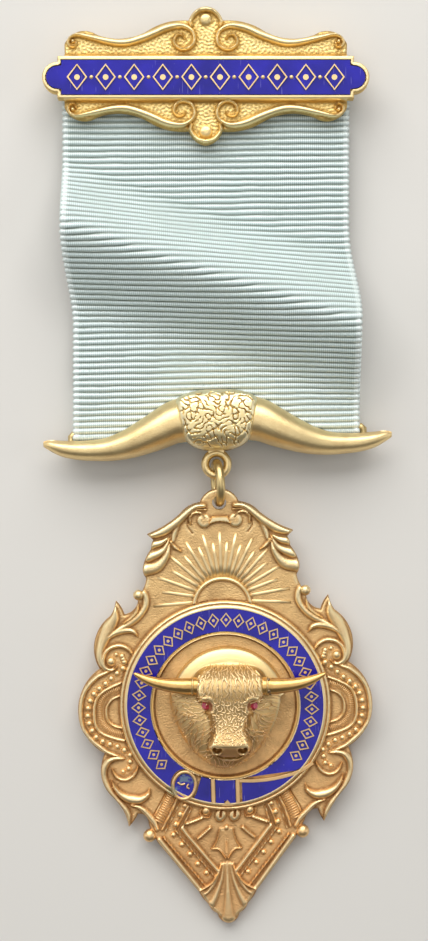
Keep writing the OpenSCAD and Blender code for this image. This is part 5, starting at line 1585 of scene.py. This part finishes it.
for j, line in enumerate(columns):
    run = np.concatenate([[0], np.cumsum(np.linalg.norm(np.diff(line, axis=0), axis=1))])
    for k in range(3):
        cloth[:, j, k] = np.interp(clothRun * run[-1] / clothLength, run, line[:, k])
scallop = np.abs(np.sin(math.pi * clothRun / ribbon["pitch"])) ** 0.6 * ribbon["loops"]
cloth[:, 0, 0] -= scallop
cloth[:, -1, 0] += scallop
down = np.gradient(cloth, axis=0)
over = np.gradient(cloth, axis=1)
normal = np.cross(over, down)
normal /= np.linalg.norm(normal, axis=2)[:, :, None]
facing = -normal if normal[rowsCount // 2, ribbon["columns"] // 2, 2] < 0 else normal
half = ribbon["wall"] / 2
shell = np.concatenate([cloth + facing * half, (cloth - facing * half)[:, ::-1]], 1)
per = shell.shape[1]
faces = tubeFaces(rowsCount + 1, per)
faces.append(tuple(range(per)))
faces.append(tuple(rowsCount * per + j for j in range(per)))
mesh = bpy.data.meshes.new("cloth")
mesh.from_pydata(shell.reshape(-1, 3).tolist(), [], faces)
faceOutwards(mesh)
faces = [tuple(f.vertices) for f in mesh.polygons]
acrossMm = (across + 1) * ribbon["width"] / 2
warp = np.tile(np.concatenate([acrossMm, acrossMm[::-1]]), rowsCount + 1)
ribbonCloth = grow("ribbon_cloth", shell.reshape(-1, 3), [], faces, ribTree(silk),
                   {"Pitch": ribbon["pitch"], "Depth": ribbon["depth"], "Drift": ribbon["drift"]},
                   Matrix.Identity(4), {"run": np.repeat(clothRun, per), "warp": warp})
print("ribbon woven, length", round(clothLength, 1), "mm")

# CAD pieces that stay, dressed

dressed = {"bar_enamel": enamel, "garter_strap": enamel, "garter_tail": enamel, "garter_loop_left": enamel,
           "garter_loop_middle": enamel, "eye_left": paste, "eye_right": paste, "brooch_pin": satin}
for node, material in dressed.items():
    for slot in bpy.data.objects[node].material_slots:
        slot.material = material

# What each piece is in the part

replaced = {
    "brooch_bar": [barPlate, barFittings, barOrnament],
    "ribbon": [ribbonCloth],
    "horn_suspender": [suspenderHorns, boss, suspenderFittings],
    "jump_ring": [jumpRing],
    "pendant_plate": [plate, beads, sunRays, hatched, garterMetal],
    "bull_head": [skull, headHair, headHorns],
}
for node, pieces in replaced.items():
    for piece in pieces:
        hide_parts(node)
        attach(piece, "root")
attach(buckleFill, "root")

# Floor, light and camera

stageSet = {  # in metres, the lamps turned to the middle
    "floor": "#D9D6D0", "floorSize": 1.6, "floorZ": -0.0001,
    "key": {"at": (-0.06, 0.5, 0.42), "size": (1.0, 0.55), "power": 6.4},
    "top": {"at": (0.0, -0.02, 0.62), "size": (0.55, 0.55), "power": 0.9},
    "left": {"at": (-0.55, 0.0, 0.24), "size": (0.3, 0.5), "power": 0.55},
    "right": {"at": (0.55, 0.0, 0.24), "size": (0.3, 0.5), "power": 0.55},
    "sky": ("#CECCC8", 0.2),
    # In millimetres: the camera's place, what the picture's height takes in, and how high that is measured
    "cameraAt": (-0.2, -0.67, 300.0), "tallMm": 126.1, "focusZ": 3.0,
}
size = stageSet["floorSize"] / 2
corners = ((-size, -size), (size, -size), (size, size), (-size, size))
floorMesh = bpy.data.meshes.new("floor")
floorMesh.from_pydata([(x, y, stageSet["floorZ"]) for x, y in corners], [], [(0, 1, 2, 3)])
floorMaterial, _, floorShader, _ = startMaterial("pale matt paper")
floorShader.inputs["Base Color"].default_value = linear(stageSet["floor"])
floorShader.inputs["Roughness"].default_value = 0.9
floorMesh.materials.append(floorMaterial)
floor = bpy.data.objects.new("floor", floorMesh)
bpy.context.scene.collection.objects.link(floor)

for label in ("key", "top", "left", "right"):
    setup = stageSet[label]
    lamp = bpy.data.lights.new(label, "AREA")
    lamp.shape = "RECTANGLE"
    lamp.size, lamp.size_y = setup["size"]
    lamp.energy = setup["power"]
    light = bpy.data.objects.new(label, lamp)
    light.location = setup["at"]
    light.rotation_euler = (-Vector(setup["at"])).to_track_quat("-Z", "Y").to_euler()
    bpy.context.scene.collection.objects.link(light)

world = bpy.data.worlds.new("studio")
world.use_nodes = True
world.node_tree.nodes["Background"].inputs["Color"].default_value = linear(stageSet["sky"][0])
world.node_tree.nodes["Background"].inputs["Strength"].default_value = stageSet["sky"][1]
bpy.context.scene.world = world
bpy.context.scene.view_settings.view_transform = "Standard"

lens = bpy.data.cameras.new("camera")
lens.sensor_width = 36
distance = stageSet["cameraAt"][2] - stageSet["focusZ"]
lens.lens = lens.sensor_width * distance / stageSet["tallMm"]
lens.clip_start = 0.01
lens.clip_end = 5
camera = bpy.data.objects.new("camera", lens)
camera.location = [v * mm for v in stageSet["cameraAt"]]
bpy.context.scene.collection.objects.link(camera)
bpy.context.scene.camera = camera
print("stage set")
